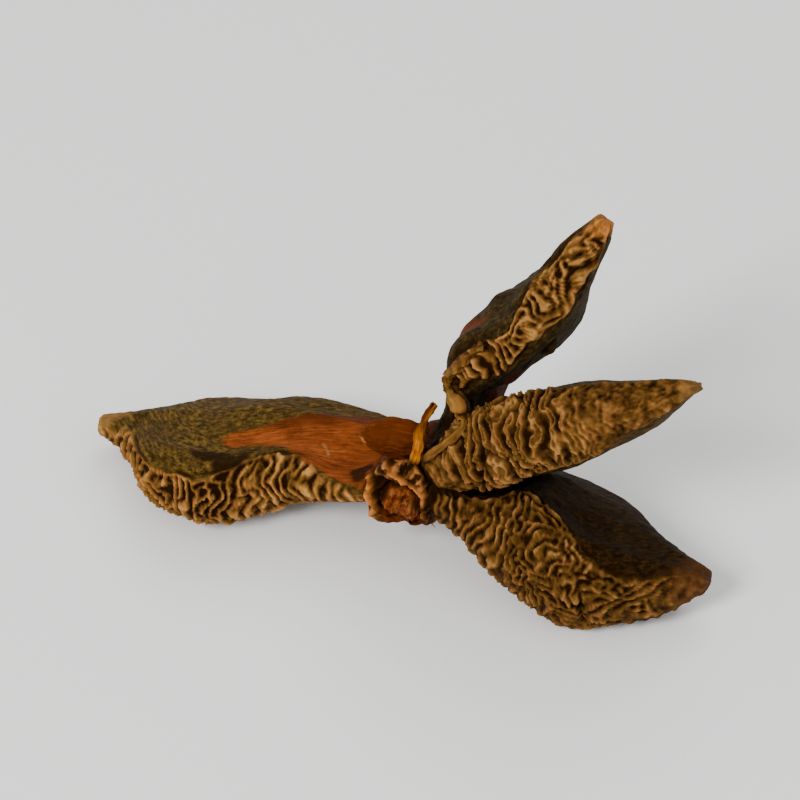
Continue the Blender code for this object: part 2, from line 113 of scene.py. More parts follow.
# The pods. A knot is (share of the length, value), and angles are in degrees.
# bearing, reach, root, lean, roll, sweep and drift place the centre line and turn the section round it.
# keel, seam, band, flank, lip and gap are the depths and half widths of the section.
# pitch is the distance between wrinkles, and lie their course: 1 across the band, -1 along it. loops is how
# far they close to rings (below 0, round pits), fine the share of a finer set, calm the contrast, twin how
# far a crest is split in two, and depth the relief.
# crease, facet and flatten are for the side over or under the keel: where the band ends, the two edges of
# the smooth red skin, and how hollow the flank is. facet_shade is where painted shade darkens the red skin.
# welts and cracks are lines of corners (along, round), with half width and height; cracks are also painted
# dark as shade. swells are mounds: share of the length, place round the section, half length, half width,
# height. pits are dark patches with no dent: blotches, and painted shade below the plate near the hub; they
# have along, round, half length, half width, strength. scratches are pale lines.
# tip is the share from which the end is worn, and how much.
# The tones of a pod's band and flanks make its bark lighter or darker: partly its own colour, partly painted
# light and shade, lit and shaded copies of one bark.
PODS = {
    "left": dict(
        seed=11, bearing=188.2, reach=17.9, root=0.9, lean=0.0, roll=1.0, sweep=-0.4,
        keel=(
            (0, 2.6), (0.15, 2.9), (0.35, 3.7), (0.6, 5.3), (0.74, 4.3), (0.87, 1.7), (0.94, 0.7), (1, 0.4),
        ),
        seam=((0, 2.9), (0.15, 4.2), (0.45, 4.4), (0.7, 3.3), (0.88, 1.8), (1, 0.5)),
        band=((0, 0.8), (0.2, 1.1), (0.4, 1.9), (0.6, 2.1), (0.8, 1.6), (0.93, 0.9), (1, 0.5)),
        flank=((0, 0.8), (0.2, 1.3), (0.45, 2.1), (0.7, 1.8), (0.9, 0.9), (1, 0.5)),
        lip=((0, 0.5), (0.3, 0.9), (0.6, 1.0), (0.85, 0.7), (1, 0.35)), gap=0.35,
        pitch=0.5, lie=((0, 0.9), (0.3, 0.9), (0.42, 0.5), (0.52, 0.2), (0.85, 0.3), (1, 0.4)),
        loops=((0, 0), (0.36, -0.1), (0.46, -0.75), (0.8, -0.7), (1, 0)),
        calm=((0, 1), (0.3, 1), (0.45, 1.2), (1, 1.2)),
        depth=((0, 0.02), (0.15, 0.05), (0.25, 0.12), (0.36, 0.24), (0.85, 0.2), (0.94, 0.1), (1, 0.02)),
        crease_over=(
            (0, 0.1), (0.06, 0.12), (0.12, 0.3), (0.19, 0.8), (0.24, 1.8), (0.29, 2.35), (0.36, 2.4),
            (0.42, 2.05), (0.48, 1.64), (0.55, 1.25), (0.66, 1.38), (0.82, 0.9), (0.96, 0.3), (1, 0.2),
        ),
        facet_over=(
            ((0, 0.2), (0.11, 0.5), (0.25, 1.85), (0.375, 3.44), (0.52, 4.4), (0.57, 4.9)),
            ((0, 6.6), (0.14, 6.8), (0.3, 6.6), (0.42, 6.0), (0.54, 5.05), (0.57, 4.9)),
        ),
        facet_shade=(5.0, 6.3), flatten_over=0.42,
        pits=(
            (8.3, 2.4, 1.0, 0.8, 2.6), (9.6, 2.9, 1.0, 0.7, 1.9), (7.1, 3.0, 0.7, 0.35, 1.6),
            (1.6, 1.65, 0.42, 0.75, 4.0),
        ),
        scratches=(((4.3, 3.9), (4.0, 3.5), (3.8, 3.1)),),
        tip=(0.955, 0.7), band_tone_and_lighting=1.42, flank_tone_and_lighting=(0.07, 0.039, 0.008),
    ),
    "upper": dict(
        seed=23, bearing=63.0, reach=17.4, root=0.9, lean=-12.0, roll=-5.0, sweep=0.0,
        drift=(
            (0, 0), (0.2, -0.2), (0.3, -0.75), (0.4, -0.8), (0.5, -0.35), (0.6, 0), (0.85, -0.15), (1, -0.2),
        ),
        keel=((0, 1.1), (0.15, 1.1), (0.27, 1.9), (0.4, 2.6), (0.6, 3.0), (0.8, 2.1), (0.93, 1.0), (1, 0.5)),
        seam=((0, 2.7), (0.15, 3.0), (0.45, 2.8), (0.7, 2.2), (0.88, 1.2), (1, 0.5)),
        band=((0, 0.4), (0.2, 0.6), (0.4, 1.15), (0.6, 1.4), (0.8, 1.2), (0.93, 0.85), (1, 0.5)),
        flank=((0, 0.6), (0.2, 1.1), (0.45, 1.75), (0.7, 1.5), (0.9, 0.9), (1, 0.5)),
        lip=((0, 0.5), (0.3, 1.4), (0.55, 1.8), (0.85, 0.9), (1, 0.4)), gap=0.9,
        pitch=0.52, lie=((0, 0.3), (0.3, 0.85), (0.5, 0.8), (0.56, 0.1), (0.8, 0.0), (1, 0.0)),
        loops=((0, 0), (0.5, 0), (0.6, -0.15), (1, -0.2)),
        fine=((0, 0.15), (0.5, 0.15), (0.6, 0.35), (1, 0.45)),
        calm=((0, 1.5), (0.5, 1.5), (0.6, 1.35), (1, 1.25)),
        depth=(
            (0, 0.05), (0.15, 0.14), (0.3, 0.24), (0.52, 0.24), (0.6, 0.17), (0.85, 0.14), (0.97, 0.11),
            (1, 0.07),
        ),
        crease_over=(
            (0, -0.5), (0.28, -0.5), (0.33, 0.3), (0.4, 0.6), (0.44, 0.8), (0.5, 1.05), (0.6, 0.8),
            (0.66, 0.85), (0.73, 1.1), (0.81, 1.3), (0.87, 1.05), (0.93, 0.9), (1, 0.6),
        ),
        crease_under=(
            (0, -0.5), (0.28, -0.5), (0.32, 0.7), (0.37, 1.1), (0.46, 1.0), (0.56, 0.9), (0.62, 0.6),
            (0.665, 0.8), (0.71, 1.2), (0.76, 1.35), (0.82, 1.0), (0.9, 0.85), (1, 0.6),
        ),
        facet_over=(
            ((0, 2.6), (0.3, 2.9), (0.45, 3.3), (0.5, 3.5)),
            ((0, 5.0), (0.2, 4.9), (0.36, 4.5), (0.46, 3.8), (0.5, 3.5)),
        ),
        facet_under=(
            ((0, 2.4), (0.3, 2.4), (0.45, 2.6), (0.54, 2.9)),
            ((0, 4.8), (0.2, 4.6), (0.38, 4.1), (0.48, 3.4), (0.54, 2.9)),
        ),
        welts=(
            (((14.1, 0.71), (13.6, 1.1), (12.96, 1.15), (12.39, 1.08), (12.0, 0.97)), 0.16, 0.2),
            (((12.33, -0.73), (12.01, -0.23), (12.01, 0.28)), 0.12, 0.14),
            (((11.1, -0.15), (11.15, 0.05)), 0.25, 0.25),
            (((10.0, -0.08), (10.1, 0.08)), 0.2, 0.2),
            (((11.51, 0.48), (10.43, 0.6)), 0.14, 0.22),
        ),
        swells=(
            (0.54, -4.0, 0.055, 0.9, 0.4), (0.39, -2.5, 0.09, 1.3, 0.5), (0.39, 3.5, 0.07, 1.1, 0.5),
            (0.586, 3.4, 0.027, 0.3, 0.5),
        ),
        cracks=((((9.4, 2.75), (10.1, 2.8), (10.5, 2.5)), 0.16, 0.3),),
        tip=(0.98, 0.75), tip_tone=(0.6, 0.21, 0.04), band_tone_and_lighting=1.12, flank_tone_and_lighting=(0.03, 0.0175, 0.005),
    ),
    "right": dict(
        seed=37, bearing=33.9, reach=16.9, root=0.9, lean=0.0, roll=-27.0, sweep=0.0,
        keel=((0, 2.2), (0.15, 2.6), (0.35, 3.0), (0.6, 2.8), (0.8, 1.9), (0.93, 1.0), (1, 0.5)),
        seam=((0, 2.8), (0.15, 3.7), (0.45, 4.0), (0.7, 3.2), (0.88, 1.9), (1, 0.9)),
        band=((0, 1.2), (0.2, 1.9), (0.4, 2.1), (0.6, 1.8), (0.8, 1.3), (0.93, 0.8), (1, 0.4)),
        flank=((0, 0.9), (0.2, 1.6), (0.45, 2.0), (0.7, 1.6), (0.9, 0.8), (1, 0.4)),
        lip=((0, 0.5), (0.3, 0.9), (0.6, 0.9), (0.85, 0.6), (1, 0.3)), gap=0.3,
        pitch=0.78, lie=((0, 0.2), (0.2, 0.5), (0.3, 0.95), (0.6, 0.9), (0.72, 0.2), (1, 0.0)),
        twin=((0, 0), (0.16, 0), (0.24, 0.7), (0.58, 0.7), (0.68, 0)),
        fine=((0, 1.3), (0.13, 1.1), (0.2, 0.2), (0.58, 0.2), (0.7, 1.6), (1, 1.6)),
        calm=((0, 0.4), (0.13, 0.5), (0.2, 1), (0.58, 1), (0.7, 0.35), (1, 0.25)),
        depth=((0, 0.06), (0.13, 0.1), (0.2, 0.22), (0.56, 0.22), (0.66, 0.12), (0.9, 0.07), (1, 0.02)),
        swells=((0.1, -1.9, 0.055, 0.9, -0.9), (0.18, 0.75, 0.08, 1.0, 0.3), (0.33, 1.4, 0.05, 0.5, 0.2)),
        cracks=(
            (((0.9, -1.3), (1.6, -1.7), (2.5, -2.6)), 0.7, 0.0),
            (((5.0, -0.4), (4.78, 0.66), (4.3, 1.4), (3.8, 2.4)), 0.15, 0.35),
            (((5.1, -0.1), (5.5, 0.7), (6.0, 1.4), (6.6, 1.9), (7.2, 2.3)), 0.13, 0.3),
        ),
        tip=(0.985, 0.5), band_tone_and_lighting=1.0, flank_tone_and_lighting=(0.05, 0.028, 0.007),
    ),
    "front": dict(
        seed=41, bearing=-7.0, reach=15.9, root=0.9, lean=0.0, roll=-8.0, sweep=0.6,
        keel=((0, 2.8), (0.15, 3.0), (0.35, 4.1), (0.55, 5.2), (0.75, 4.2), (0.93, 1.8), (1, 0.9)),
        seam=((0, 2.8), (0.15, 3.8), (0.45, 4.6), (0.66, 3.5), (0.84, 1.1), (1, 0.5)),
        band=((0, 0.9), (0.2, 1.4), (0.4, 2.5), (0.6, 2.7), (0.8, 2.0), (0.93, 1.2), (1, 0.6)),
        flank=((0, 0.8), (0.2, 1.6), (0.45, 2.4), (0.7, 2.1), (0.9, 1.1), (1, 0.6)),
        lip=((0, 0.5), (0.3, 1.0), (0.6, 1.2), (0.85, 0.8), (1, 0.4)), gap=0.5,
        pitch=0.5, lie=((0, 0.8), (0.25, 0.8), (0.36, 0.15), (0.6, 0.0), (1, 0.0)),
        loops=((0, 0), (0.35, -0.1), (0.5, -0.3), (1, -0.4)),
        calm=((0, 1), (0.75, 1), (0.9, 0.7), (1, 0.6)),
        depth=((0, 0.06), (0.15, 0.14), (0.35, 0.22), (0.72, 0.2), (0.88, 0.1), (0.97, 0.04), (1, 0.02)),
        crease_under=(
            (0, 1.2), (0.21, 1.95), (0.3, 4.1), (0.49, 3.9), (0.61, 2.7), (0.69, 1.65), (0.83, 0.9),
            (0.94, 0.7), (1, 0.4),
        ),
        flatten_under=0.3,
        cracks=((((9.95, 0.2), (10.05, 1.0), (10.1, 2.0)), 0.1, 0.35),),
        tip=(0.93, 0.8), tip_tone=(0.085, 0.03, 0.009), band_tone_and_lighting=0.86, flank_tone_and_lighting=(0.018, 0.0085, 0.0022),
    ),
}

# The hub's outline, (place along the axis, radius), and where missing pods left torn hollows in its side.
HUB_PROFILE = (
    (-3.4, 0.3), (-3.2, 1.0), (-2.6, 1.55), (-1.6, 1.85), (-0.4, 1.95), (0.8, 1.9), (1.7, 1.8), (2.4, 1.75),
    (2.85, 1.6), (3.0, 1.4), (2.95, 1.2), (2.65, 1.06), (2.5, 0.98), (2.68, 0.86), (2.8, 0.6), (2.78, 0.25),
)
TORN_BEARINGS = (125, 228, 270, 312)
TORN_WIDTH, TORN_DEPTH = 17.0, 0.42

# How far the rim round the stalk scar reaches at bearings round the axis, and how far it reaches in the
# profile. How far off the axis the scar's core lies, and how much wider it is than in the profile.
RIM_REACH = (
    (0, 1.45), (12, 1.45), (60, 1.75), (96, 2.0), (150, 1.95), (200, 2.1), (279, 2.1), (330, 1.7),
    (360, 1.45),
)
PROFILE_REACH = 1.75
CORE_OFFSET = np.array([0.03, -0.48])
CORE_WIDER = 0.22

# Ridges of torn tissue on the rim, seen along the axis: corners (across, up), half width, height, how pale.
RIM_RIDGES = (
    (((-1.75, 0.62), (-1.6, 0.15), (-1.5, -0.4)), 0.26, 0.3, 1.1),
    (((-1.4, -0.75), (-1.3, -1.15), (-1.15, -1.6)), 0.16, 0.22, 0.7),
    (((-0.62, 1.62), (-0.5, 1.5)), 0.2, 0.3, 0.85),
    (((-0.4, 1.45), (-0.02, 1.26), (0.3, 1.1), (0.74, 0.9), (1.2, 0.66)), 0.12, 0.36, 1.25),
    (((1.28, 0.3), (1.3, -0.2), (1.38, -0.6), (1.44, -1.0)), 0.15, 0.3, 0.75),
    (((-1.05, 1.45), (-1.35, 1.1)), 0.2, 0.14, 0.2),
)

# Rounded lumps and hollows of the rim: centre (across, up), half size, height and how pale.
RIM_LUMPS = (
    ((0.7, 1.62), 0.42, 0.3, 0.3), ((-0.8, 1.85), 0.4, 0.2, 0.15), ((-0.78, 0.72), 0.3, -0.4, 0.0),
    ((0.1, 1.95), 0.3, -0.12, 0.0), ((1.15, 1.2), 0.25, 0.12, 0.25), ((0.1, -1.7), 0.7, -0.45, 0.0),
)

# Shares of a path that are never reached, for a sliver that doesn't pale or fade.
NEVER = (2.0, 3.0)

# Torn slivers at the hub. A path is a row of (bearing, radius, place along the axis). wide and thick are
# knots of (share of the path, size). wide lies along the star's axis when turn is 0, and across it at 90.
# pale, faded and creased are the shares of the path between which these set in. web is how thick the middle
# is beside the rounded edge, and knob is a thickening: share of the path, half length, height.
SLIVERS = {
    "plate": dict(
        seed=3, turn=84, tone="torn", pale=(0.9, 1.0),
        path=((84, 2.4, 0.95), (103, 2.55, 1.15), (124, 2.85, 1.25), (141, 3.25, 1.3), (147, 3.45, 1.35)),
        wide=((0, 2.6), (0.4, 2.7), (0.7, 1.9), (0.9, 0.8), (1, 0.4)),
        thick=((0, 0.9), (0.7, 0.8), (1, 0.4)),
    ),
    "fin": dict(
        seed=4, turn=0, tone="fresh", pale=NEVER, faded=(0.3, 0.7),
        path=((80, 1.9, 1.6), (80.4, 3.05, 1.4), (82.9, 4.1, 1.3), (80.0, 5.1, 1.2)),
        wide=((0, 1.3), (0.6, 1.2), (1, 0.8)),
        thick=((0, 0.65), (0.45, 0.6), (0.75, 0.4), (1, 0.3)),
    ),
    "keel_root": dict(
        seed=9, turn=0, tone="crest", pale=NEVER, web=0.5, creased=(0.54, 0.62), knob=(0.52, 0.035, 0.16),
        path=(
            (66.8, 2.45, 1.75), (62.7, 3.7, 2.0), (59.7, 4.85, 1.95), (59.7, 5.65, 1.5), (64.2, 5.55, 0.9),
            (68.4, 6.1, 0.85), (74.7, 6.45, 0.75), (77.5, 6.8, 0.5), (76.1, 7.75, 0.75), (74.0, 8.55, 0.75),
            (71.4, 9.5, 0.7),
        ),
        wide=((0, 1.0), (0.4, 1.2), (0.5, 1.3), (0.55, 1.6), (0.62, 1.5), (0.8, 1.3), (1, 0.8)),
        thick=(
            (0, 0.5), (0.2, 0.4), (0.45, 0.42), (0.5, 0.6), (0.55, 0.85), (0.62, 0.6), (0.8, 0.6), (1, 0.5),
        ),
    ),
    "low_left": dict(
        seed=5, turn=0, tone="torn", pale=(0.8, 1.0),
        path=((249, 1.2, -0.4), (249, 1.9, -0.5), (249, 2.5, -0.6)),
        wide=((0, 4.4), (0.6, 3.8), (1, 2.0)), thick=((0, 0.8), (1, 0.5)),
    ),
    "low_right": dict(
        seed=6, turn=0, tone="torn", pale=(0.8, 1.0),
        path=((291, 1.2, -0.2), (291, 2.0, -0.35), (292, 2.7, -0.5)),
        wide=((0, 4.0), (0.6, 3.4), (1, 1.8)), thick=((0, 0.8), (1, 0.5)),
    ),
}

# Pieces with torn wood that fibres stand out of.
FIBRE_SOURCES = ("hub", "torn_low_left", "torn_low_right")


def smooth_through(knots, at):
    """A smooth curve through (place, value) knots, read at the given places."""
    places = np.array([knot[0] for knot in knots], float)
    values = np.array([knot[1] for knot in knots], float)
    slopes = np.gradient(values, places)
    i = np.clip(np.searchsorted(places, at) - 1, 0, len(places) - 2)
    width = places[i + 1] - places[i]
    t = (at - places[i]) / width
    return (
        values[i] * (1 + 2 * t) * (1 - t) ** 2
        + values[i + 1] * t * t * (3 - 2 * t)
        + width * slopes[i] * t * (1 - t) ** 2
        - width * slopes[i + 1] * t * t * (1 - t)
    )


def straight_through(knots, at):
    """The same knots joined by straight lines, for values that must not overshoot."""
    return np.interp(at, [knot[0] for knot in knots], [knot[1] for knot in knots])


def smoothstep(low, high, x):
    """0 below low, 1 above high, and a smooth rise between them."""
    t = np.clip((x - low) / (high - low), 0, 1)
    return t * t * (3 - 2 * t)


def bell(x, y=0.0):
    """1 at the middle, falling smoothly to nothing at about 2."""
    return np.exp(-(x**2) - y**2)


def unit(v):
    """The same directions with length 1."""
    return v / np.linalg.norm(v, axis=-1, keepdims=True)


def wander(seed, points, size):
    """A smooth seeded field that strays between about -1 and 1 over lengths of the given size."""
    draw = np.random.default_rng(seed)
    total = 0.0
    for _ in range(6):
        wave = unit(draw.normal(size=points.shape[-1])) * 2 * math.pi / (size * draw.uniform(0.7, 1.5))
        total = total + np.sin(points @ wave + draw.uniform(0, 2 * math.pi))
    return total / 2.6


def grit(seed, points, size, octaves=3):
    """Seeded rough noise between about -1 and 1, its coarsest grains of the given size."""
    cells, apart, finer_share = 24, 7.3, 0.55
    draw = np.random.default_rng(seed)
    lattice = draw.uniform(-1, 1, (cells, cells, cells))
    total, share = 0.0, 1.0
    for octave in range(octaves):
        at = points * 2**octave / size + apart * octave
        cell = np.floor(at).astype(int)
        t = at - cell
        t = t * t * (3 - 2 * t)
        value = 0.0
        for corner in np.ndindex(2, 2, 2):
            weight = np.prod(np.where(corner, t, 1 - t), axis=-1)
            value = value + weight * lattice[tuple(np.moveaxis((cell + corner) % cells, -1, 0))]
        total = total + share * value
        share *= finer_share
    return 1.3 * total


def star_axes():
    """The star's own axes as rows: level to the right, upwards, and out through the stalk scar."""
    yaw, rise = math.radians(AXIS_YAW), math.radians(AXIS_RISE)
    right = np.array([math.cos(yaw), -math.sin(yaw), 0.0])
    level = np.array([-math.sin(yaw), -math.cos(yaw), 0.0])
    stalk = level * math.cos(rise) + np.array([0.0, 0.0, math.sin(rise)])
    return np.array([right, np.cross(stalk, right), stalk])


def star_point(bearing, radius, axial):
    """A point by its bearing round the axis, its distance from it and its place along it."""
    angle = np.radians(bearing)
    spot = np.broadcast_arrays(radius * np.cos(angle), radius * np.sin(angle), axial)
    return HUB + np.stack(spot, -1) @ star_axes()


def pod_axes(pod):
    """A pod's own axes: along its length, towards its keel, and sideways."""
    right, up, stalk = star_axes()
    bearing, lean = math.radians(pod["bearing"]), math.radians(pod["lean"])
    spoke = right * math.cos(bearing) + up * math.sin(bearing)
    along = spoke * math.cos(lean) + stalk * math.sin(lean)
    keel = stalk * math.cos(lean) - spoke * math.sin(lean)
    return along, keel, np.cross(along, keel)


def pod_path(pod, s):
    """Points on a pod's centre line at shares s of its length."""
    along, _, side = pod_axes(pod)
    reach = pod["root"] + (pod["reach"] - pod["root"]) * s
    aside = pod["sweep"] * 4 * s * (1 - s)
    if "drift" in pod:
        aside = aside + smooth_through(pod["drift"], s)
    return HUB + reach[..., None] * along + aside[..., None] * side


def pod_section(pod, s, place):
    """How far points of the skin lie sideways and towards the keel, at shares s and places round it."""
    keel, seam, band, flank, lip = (
        np.maximum(smooth_through(pod[name], s), THINNEST)
        for name in ("keel", "seam", "band", "flank", "lip")
    )
    height = keel + seam
    opened = smoothstep(*SLIT_OPENS, s) * (1 - smoothstep(*SLIT_CLOSES, s))
    closed = 1 - opened
    gap = opened * pod["gap"] + closed * 0.25 * lip
    depth = (opened * 0.62 + closed * 0.06) * height
    hollow = opened * np.maximum(flank - 1.0, gap * 0.9) + closed * 0.12 * lip
    half = [
        (0 * s, keel),
        (0.62 * band, keel - 0.05 * height),
        (band, keel - 0.19 * height),
        (0.94 * band, keel - 0.34 * height),
        (flank, keel - 0.60 * height),
        (0.5 * (flank + lip), -seam + 0.16 * height),
        (lip, -seam + 0.03 * height),
        (0.4 * lip + 0.6 * gap, -seam),
        (gap, -seam + 0.25 * depth),
        (hollow, -seam + 0.60 * depth),
        (0.6 * hollow, -seam + 0.90 * depth),
        (0 * s, -seam + depth),
    ]
    other_half = [(-across, towards) for across, towards in half[-2:0:-1]]
    knots = np.array(half + other_half)
    below = np.floor(place).astype(int)
    t = place - below
    a, b, c, d = (
        np.take_along_axis(knots, ((below + step) % PLACES)[None, None], axis=0)[0] for step in (-1, 0, 1, 2)
    )
    return 0.5 * (2 * b + (c - a) * t + (2 * a - 5 * b + 4 * c - d) * t**2 + (3 * b - a - 3 * c + d) * t**3)


def pod_skin(pod, s, place):
    """Points on the smooth skin of a pod, before its wrinkles."""
    _, keel, side = pod_axes(pod)
    step = 0.01
    tangent = unit(pod_path(pod, s + step) - pod_path(pod, s - step))
    turn = math.radians(pod["roll"])
    keel = keel * math.cos(turn) + side * math.sin(turn)
    keel = unit(keel - tangent * np.sum(keel * tangent, axis=-1, keepdims=True))
    across, towards = pod_section(pod, s, place)
    return pod_path(pod, s) + across[..., None] * np.cross(tangent, keel) + towards[..., None] * keel


def swelling(pod, s, place):
    """How far the mounds and hollows of a pod lift its skin."""
    lateral = np.where(place < PLACES / 2, place, place - PLACES)
    total = 0 * s
    for at, off, long, wide, height in pod.get("swells", ()):
        total = total + height * bell((s - at) / long, (lateral - off) / wide)
    return total


def ends_fade(s, reach):
    """1 along the middle of a pod, and 0 at both its ends."""
    return smoothstep(0, reach, s) * (1 - smoothstep(1 - reach, 1, s))


def outward_normals(grid):
    """Unit normals of a grid of rings, each ring closed on itself, pointing outwards."""
    along = np.gradient(grid, axis=0)
    across = np.roll(grid, -1, axis=1) - np.roll(grid, 1, axis=1)
    normal = np.cross(across, along)
    return normal / np.maximum(np.linalg.norm(normal, axis=-1, keepdims=True), 1e-9)


class Wrinkles:
    """A field of wrinkles grown on a pod's unrolled skin, by letting a seeded noise buckle at one pitch.

    Wrinkles that run the wrong way are held back by BIAS. They grow on the band and fade outside it, and the
    band's edge pushes up a crest of its own.
    """

    # The distance between the field's nodes, how many there are, and where along the pod they start.
    STEP = 0.085
    ALONG, ACROSS = 256, 320
    START = -1.5

    # How soft the band's edge is, and where inside it and how hard it pushes up its crest.
    EDGE = 0.08
    SHORE_IN, SHORE_WIDTH, SHORE_PUSH = 0.14, 0.17, 0.14

    # How readily wrinkles grow and how much of that is lost outside the band. How strongly the wrong way is
    # held back, and how far wrinkles outside the band run along it.
    GROWTH, GROWTH_LOST = 0.55, 0.4
    BIAS, ALONG_OUTSIDE = 0.9, 0.5

    # The noise that they start from, how rings come and go (how much, over what length), and a round's pace.
    FIRST_NOISE = 0.3
    RING_CHANGE, RING_SIZE = 0.35, 3.0
    PACE = 0.7

    def __init__(self, seed, pitch, half_width, lie, loops, rounds):
        x = (np.arange(self.ALONG) * self.STEP + self.START)[:, None]
        y = (np.arange(self.ACROSS)[None, :] - self.ACROSS / 2) * self.STEP
        kx = 2 * math.pi * np.fft.fftfreq(self.ALONG, self.STEP)[:, None]
        ky = 2 * math.pi * np.fft.fftfreq(self.ACROSS, self.STEP)[None, :]
        k2 = kx**2 + ky**2
        off_pitch = (1 - k2 * (pitch / (2 * math.pi)) ** 2) ** 2
        lengthwise = ky**2 / np.maximum(k2, 1e-9)
        ways = [off_pitch + self.BIAS * lengthwise, off_pitch, off_pitch + self.BIAS * (1 - lengthwise)]
        edge = half_width(x, y)
        inside = 1 / (1 + np.exp((np.abs(y) - edge) / self.EDGE))
        shore = bell((np.abs(y) - edge + self.SHORE_IN) / self.SHORE_WIDTH)
        across = inside * lie(x) - (1 - inside) * self.ALONG_OUTSIDE
        shares = [np.clip(across, 0, 1), 1 - np.abs(across), np.clip(-across, 0, 1)]
        growth = self.GROWTH - (1 - inside) * self.GROWTH_LOST
        draw = np.random.default_rng(seed)
        field = self.FIRST_NOISE * draw.normal(size=(self.ALONG, self.ACROSS))
        spots = np.stack(np.broadcast_arrays(x, y), -1)
        rings = loops(x) + self.RING_CHANGE * wander(seed + 7, spots, self.RING_SIZE)
        for _ in range(rounds):
            bent = rings * field**2 - field**3 + self.SHORE_PUSH * shore
            pushed = np.fft.fft2(field * (1 + self.PACE * growth) + self.PACE * bent)
            field = sum(
                share * np.fft.ifft2(pushed / (1 + self.PACE * way)).real for share, way in zip(shares, ways)
            )
        self.field = field

    def at(self, x, y):
        """The field at places of the unrolled skin, between its nodes too."""
        fx, fy = (x - self.START) / self.STEP, y / self.STEP + self.ACROSS / 2
        i, j = np.floor(fx).astype(int), np.floor(fy).astype(int)
        a, b = fx - i, fy - j
        a, b = a * a * (3 - 2 * a), b * b * (3 - 2 * b)

        def corner(p, q):
            return self.field[(i + p) % self.ALONG, (j + q) % self.ACROSS]

        near = corner(0, 0) * (1 - a) + corner(1, 0) * a
        far = corner(0, 1) * (1 - a) + corner(1, 1) * a
        return near * (1 - b) + far * b


def hub_outline():
    """Points on the hub's plain profile, for what must know where the hub is."""
    profile = np.array(HUB_PROFILE, float)
    rows = np.arange(len(profile))
    at = np.linspace(0, len(profile) - 1, 80)
    axial, radius = (np.interp(at, rows, profile[:, column])[:, None] for column in (0, 1))
    return star_point(np.arange(0, 360, 4.0)[None, :], radius, axial)


def closeness(name, points):
    """1 where points touch the skin of another piece than the named one, and 0 well clear of it."""
    touching, clear = 0.12, 0.5
    s, place = np.meshgrid(np.linspace(0, 1, 90), np.linspace(0, PLACES, 88, endpoint=False), indexing="ij")
    skins = {other: pod_skin(pod, s, place) for other, pod in PODS.items()}
    skins["hub"] = hub_outline()
    others = np.concatenate([skin.reshape(-1, 3) for other, skin in skins.items() if other != name])
    tree = KDTree(len(others))
    for index, spot in enumerate(others):
        tree.insert(spot, index)
    tree.balance()
    flat = points.reshape(-1, 3)
    gaps = np.array([tree.find(spot)[2] for spot in flat]).reshape(points.shape[:-1])
    return 1 - smoothstep(touching, clear, gaps)


def line_distance(line, x, y):
    """How far places of the unrolled skin are from a line of (x, y) corners."""
    spot = np.stack([x, y], -1)
    nearest = np.full(x.shape, np.inf)
    for start, end in zip(np.array(line[:-1], float), np.array(line[1:], float)):
        way = end - start
        share = np.clip((spot - start) @ way / (way @ way), 0, 1)
        nearest = np.minimum(nearest, np.linalg.norm(spot - start - share[..., None] * way, axis=-1))
    return nearest


def unrolled(pod, skin, s, place):
    """Where points of the skin lie on the unrolled pod: along its length, and round it from the keel."""
    steps = np.linalg.norm(np.diff(skin, axis=1, append=skin[:, :1]), axis=-1)
    walked = np.concatenate([np.zeros((len(skin), 1)), np.cumsum(steps, axis=1)], axis=1)
    whole = walked[:, -1:]
    walked = walked[:, :-1]
    return s * (pod["reach"] - pod["root"]), np.where(place <= PLACES / 2, walked, walked - whole)


# What is added to a pod's seed for each of its random fields.
SEEDS = {
    "wrinkles": 0, "lumps": 2, "finer": 50, "stray": 101, "tremble": 103, "strength": 105, "offset": 106,
    "scurf": 107, "groove_and_shade": 108, "crumb": 109, "pits": 110, "tip": 111,
}

# How wrinkles, edges and lines stray from their course: (distance, size of the waves), slow and quick.
STRAY, TREMBLE = (0.26, 2.4), (0.08, 0.8)
CREASE_STRAY, FACET_STRAY, WELT_STRAY, CRACK_STRAY, FINER_STRAY = 0.6, 0.7, 0.3, 0.4, 0.8

# The finer set of wrinkles: its pitch as a share of the pod's.
FINER_PITCH = 0.52
WRINKLE_ROUNDS, FINER_ROUNDS = 20, 14

# The crease beside the band, the crumbs on the wrinkles and the scurf on the flanks: where, how wide, how
# deep. Then the dent where pods touch, the pale scratches, and where painted shade darkens the red skin.
CREASE_OFF, CREASE_WIDTH, CREASE_DEPTH = 0.1, 0.2, 0.2
CRUMB_SIZE, CRUMB_HEIGHT = 0.34, 0.03
SCURF_SIZE, SCURF_LENGTHWISE = 0.42, 0.55
TOUCH_DEPTH = 0.2
SCRATCH_WIDTH = 0.06
FACET_SHADE = (1.0, 3.5)


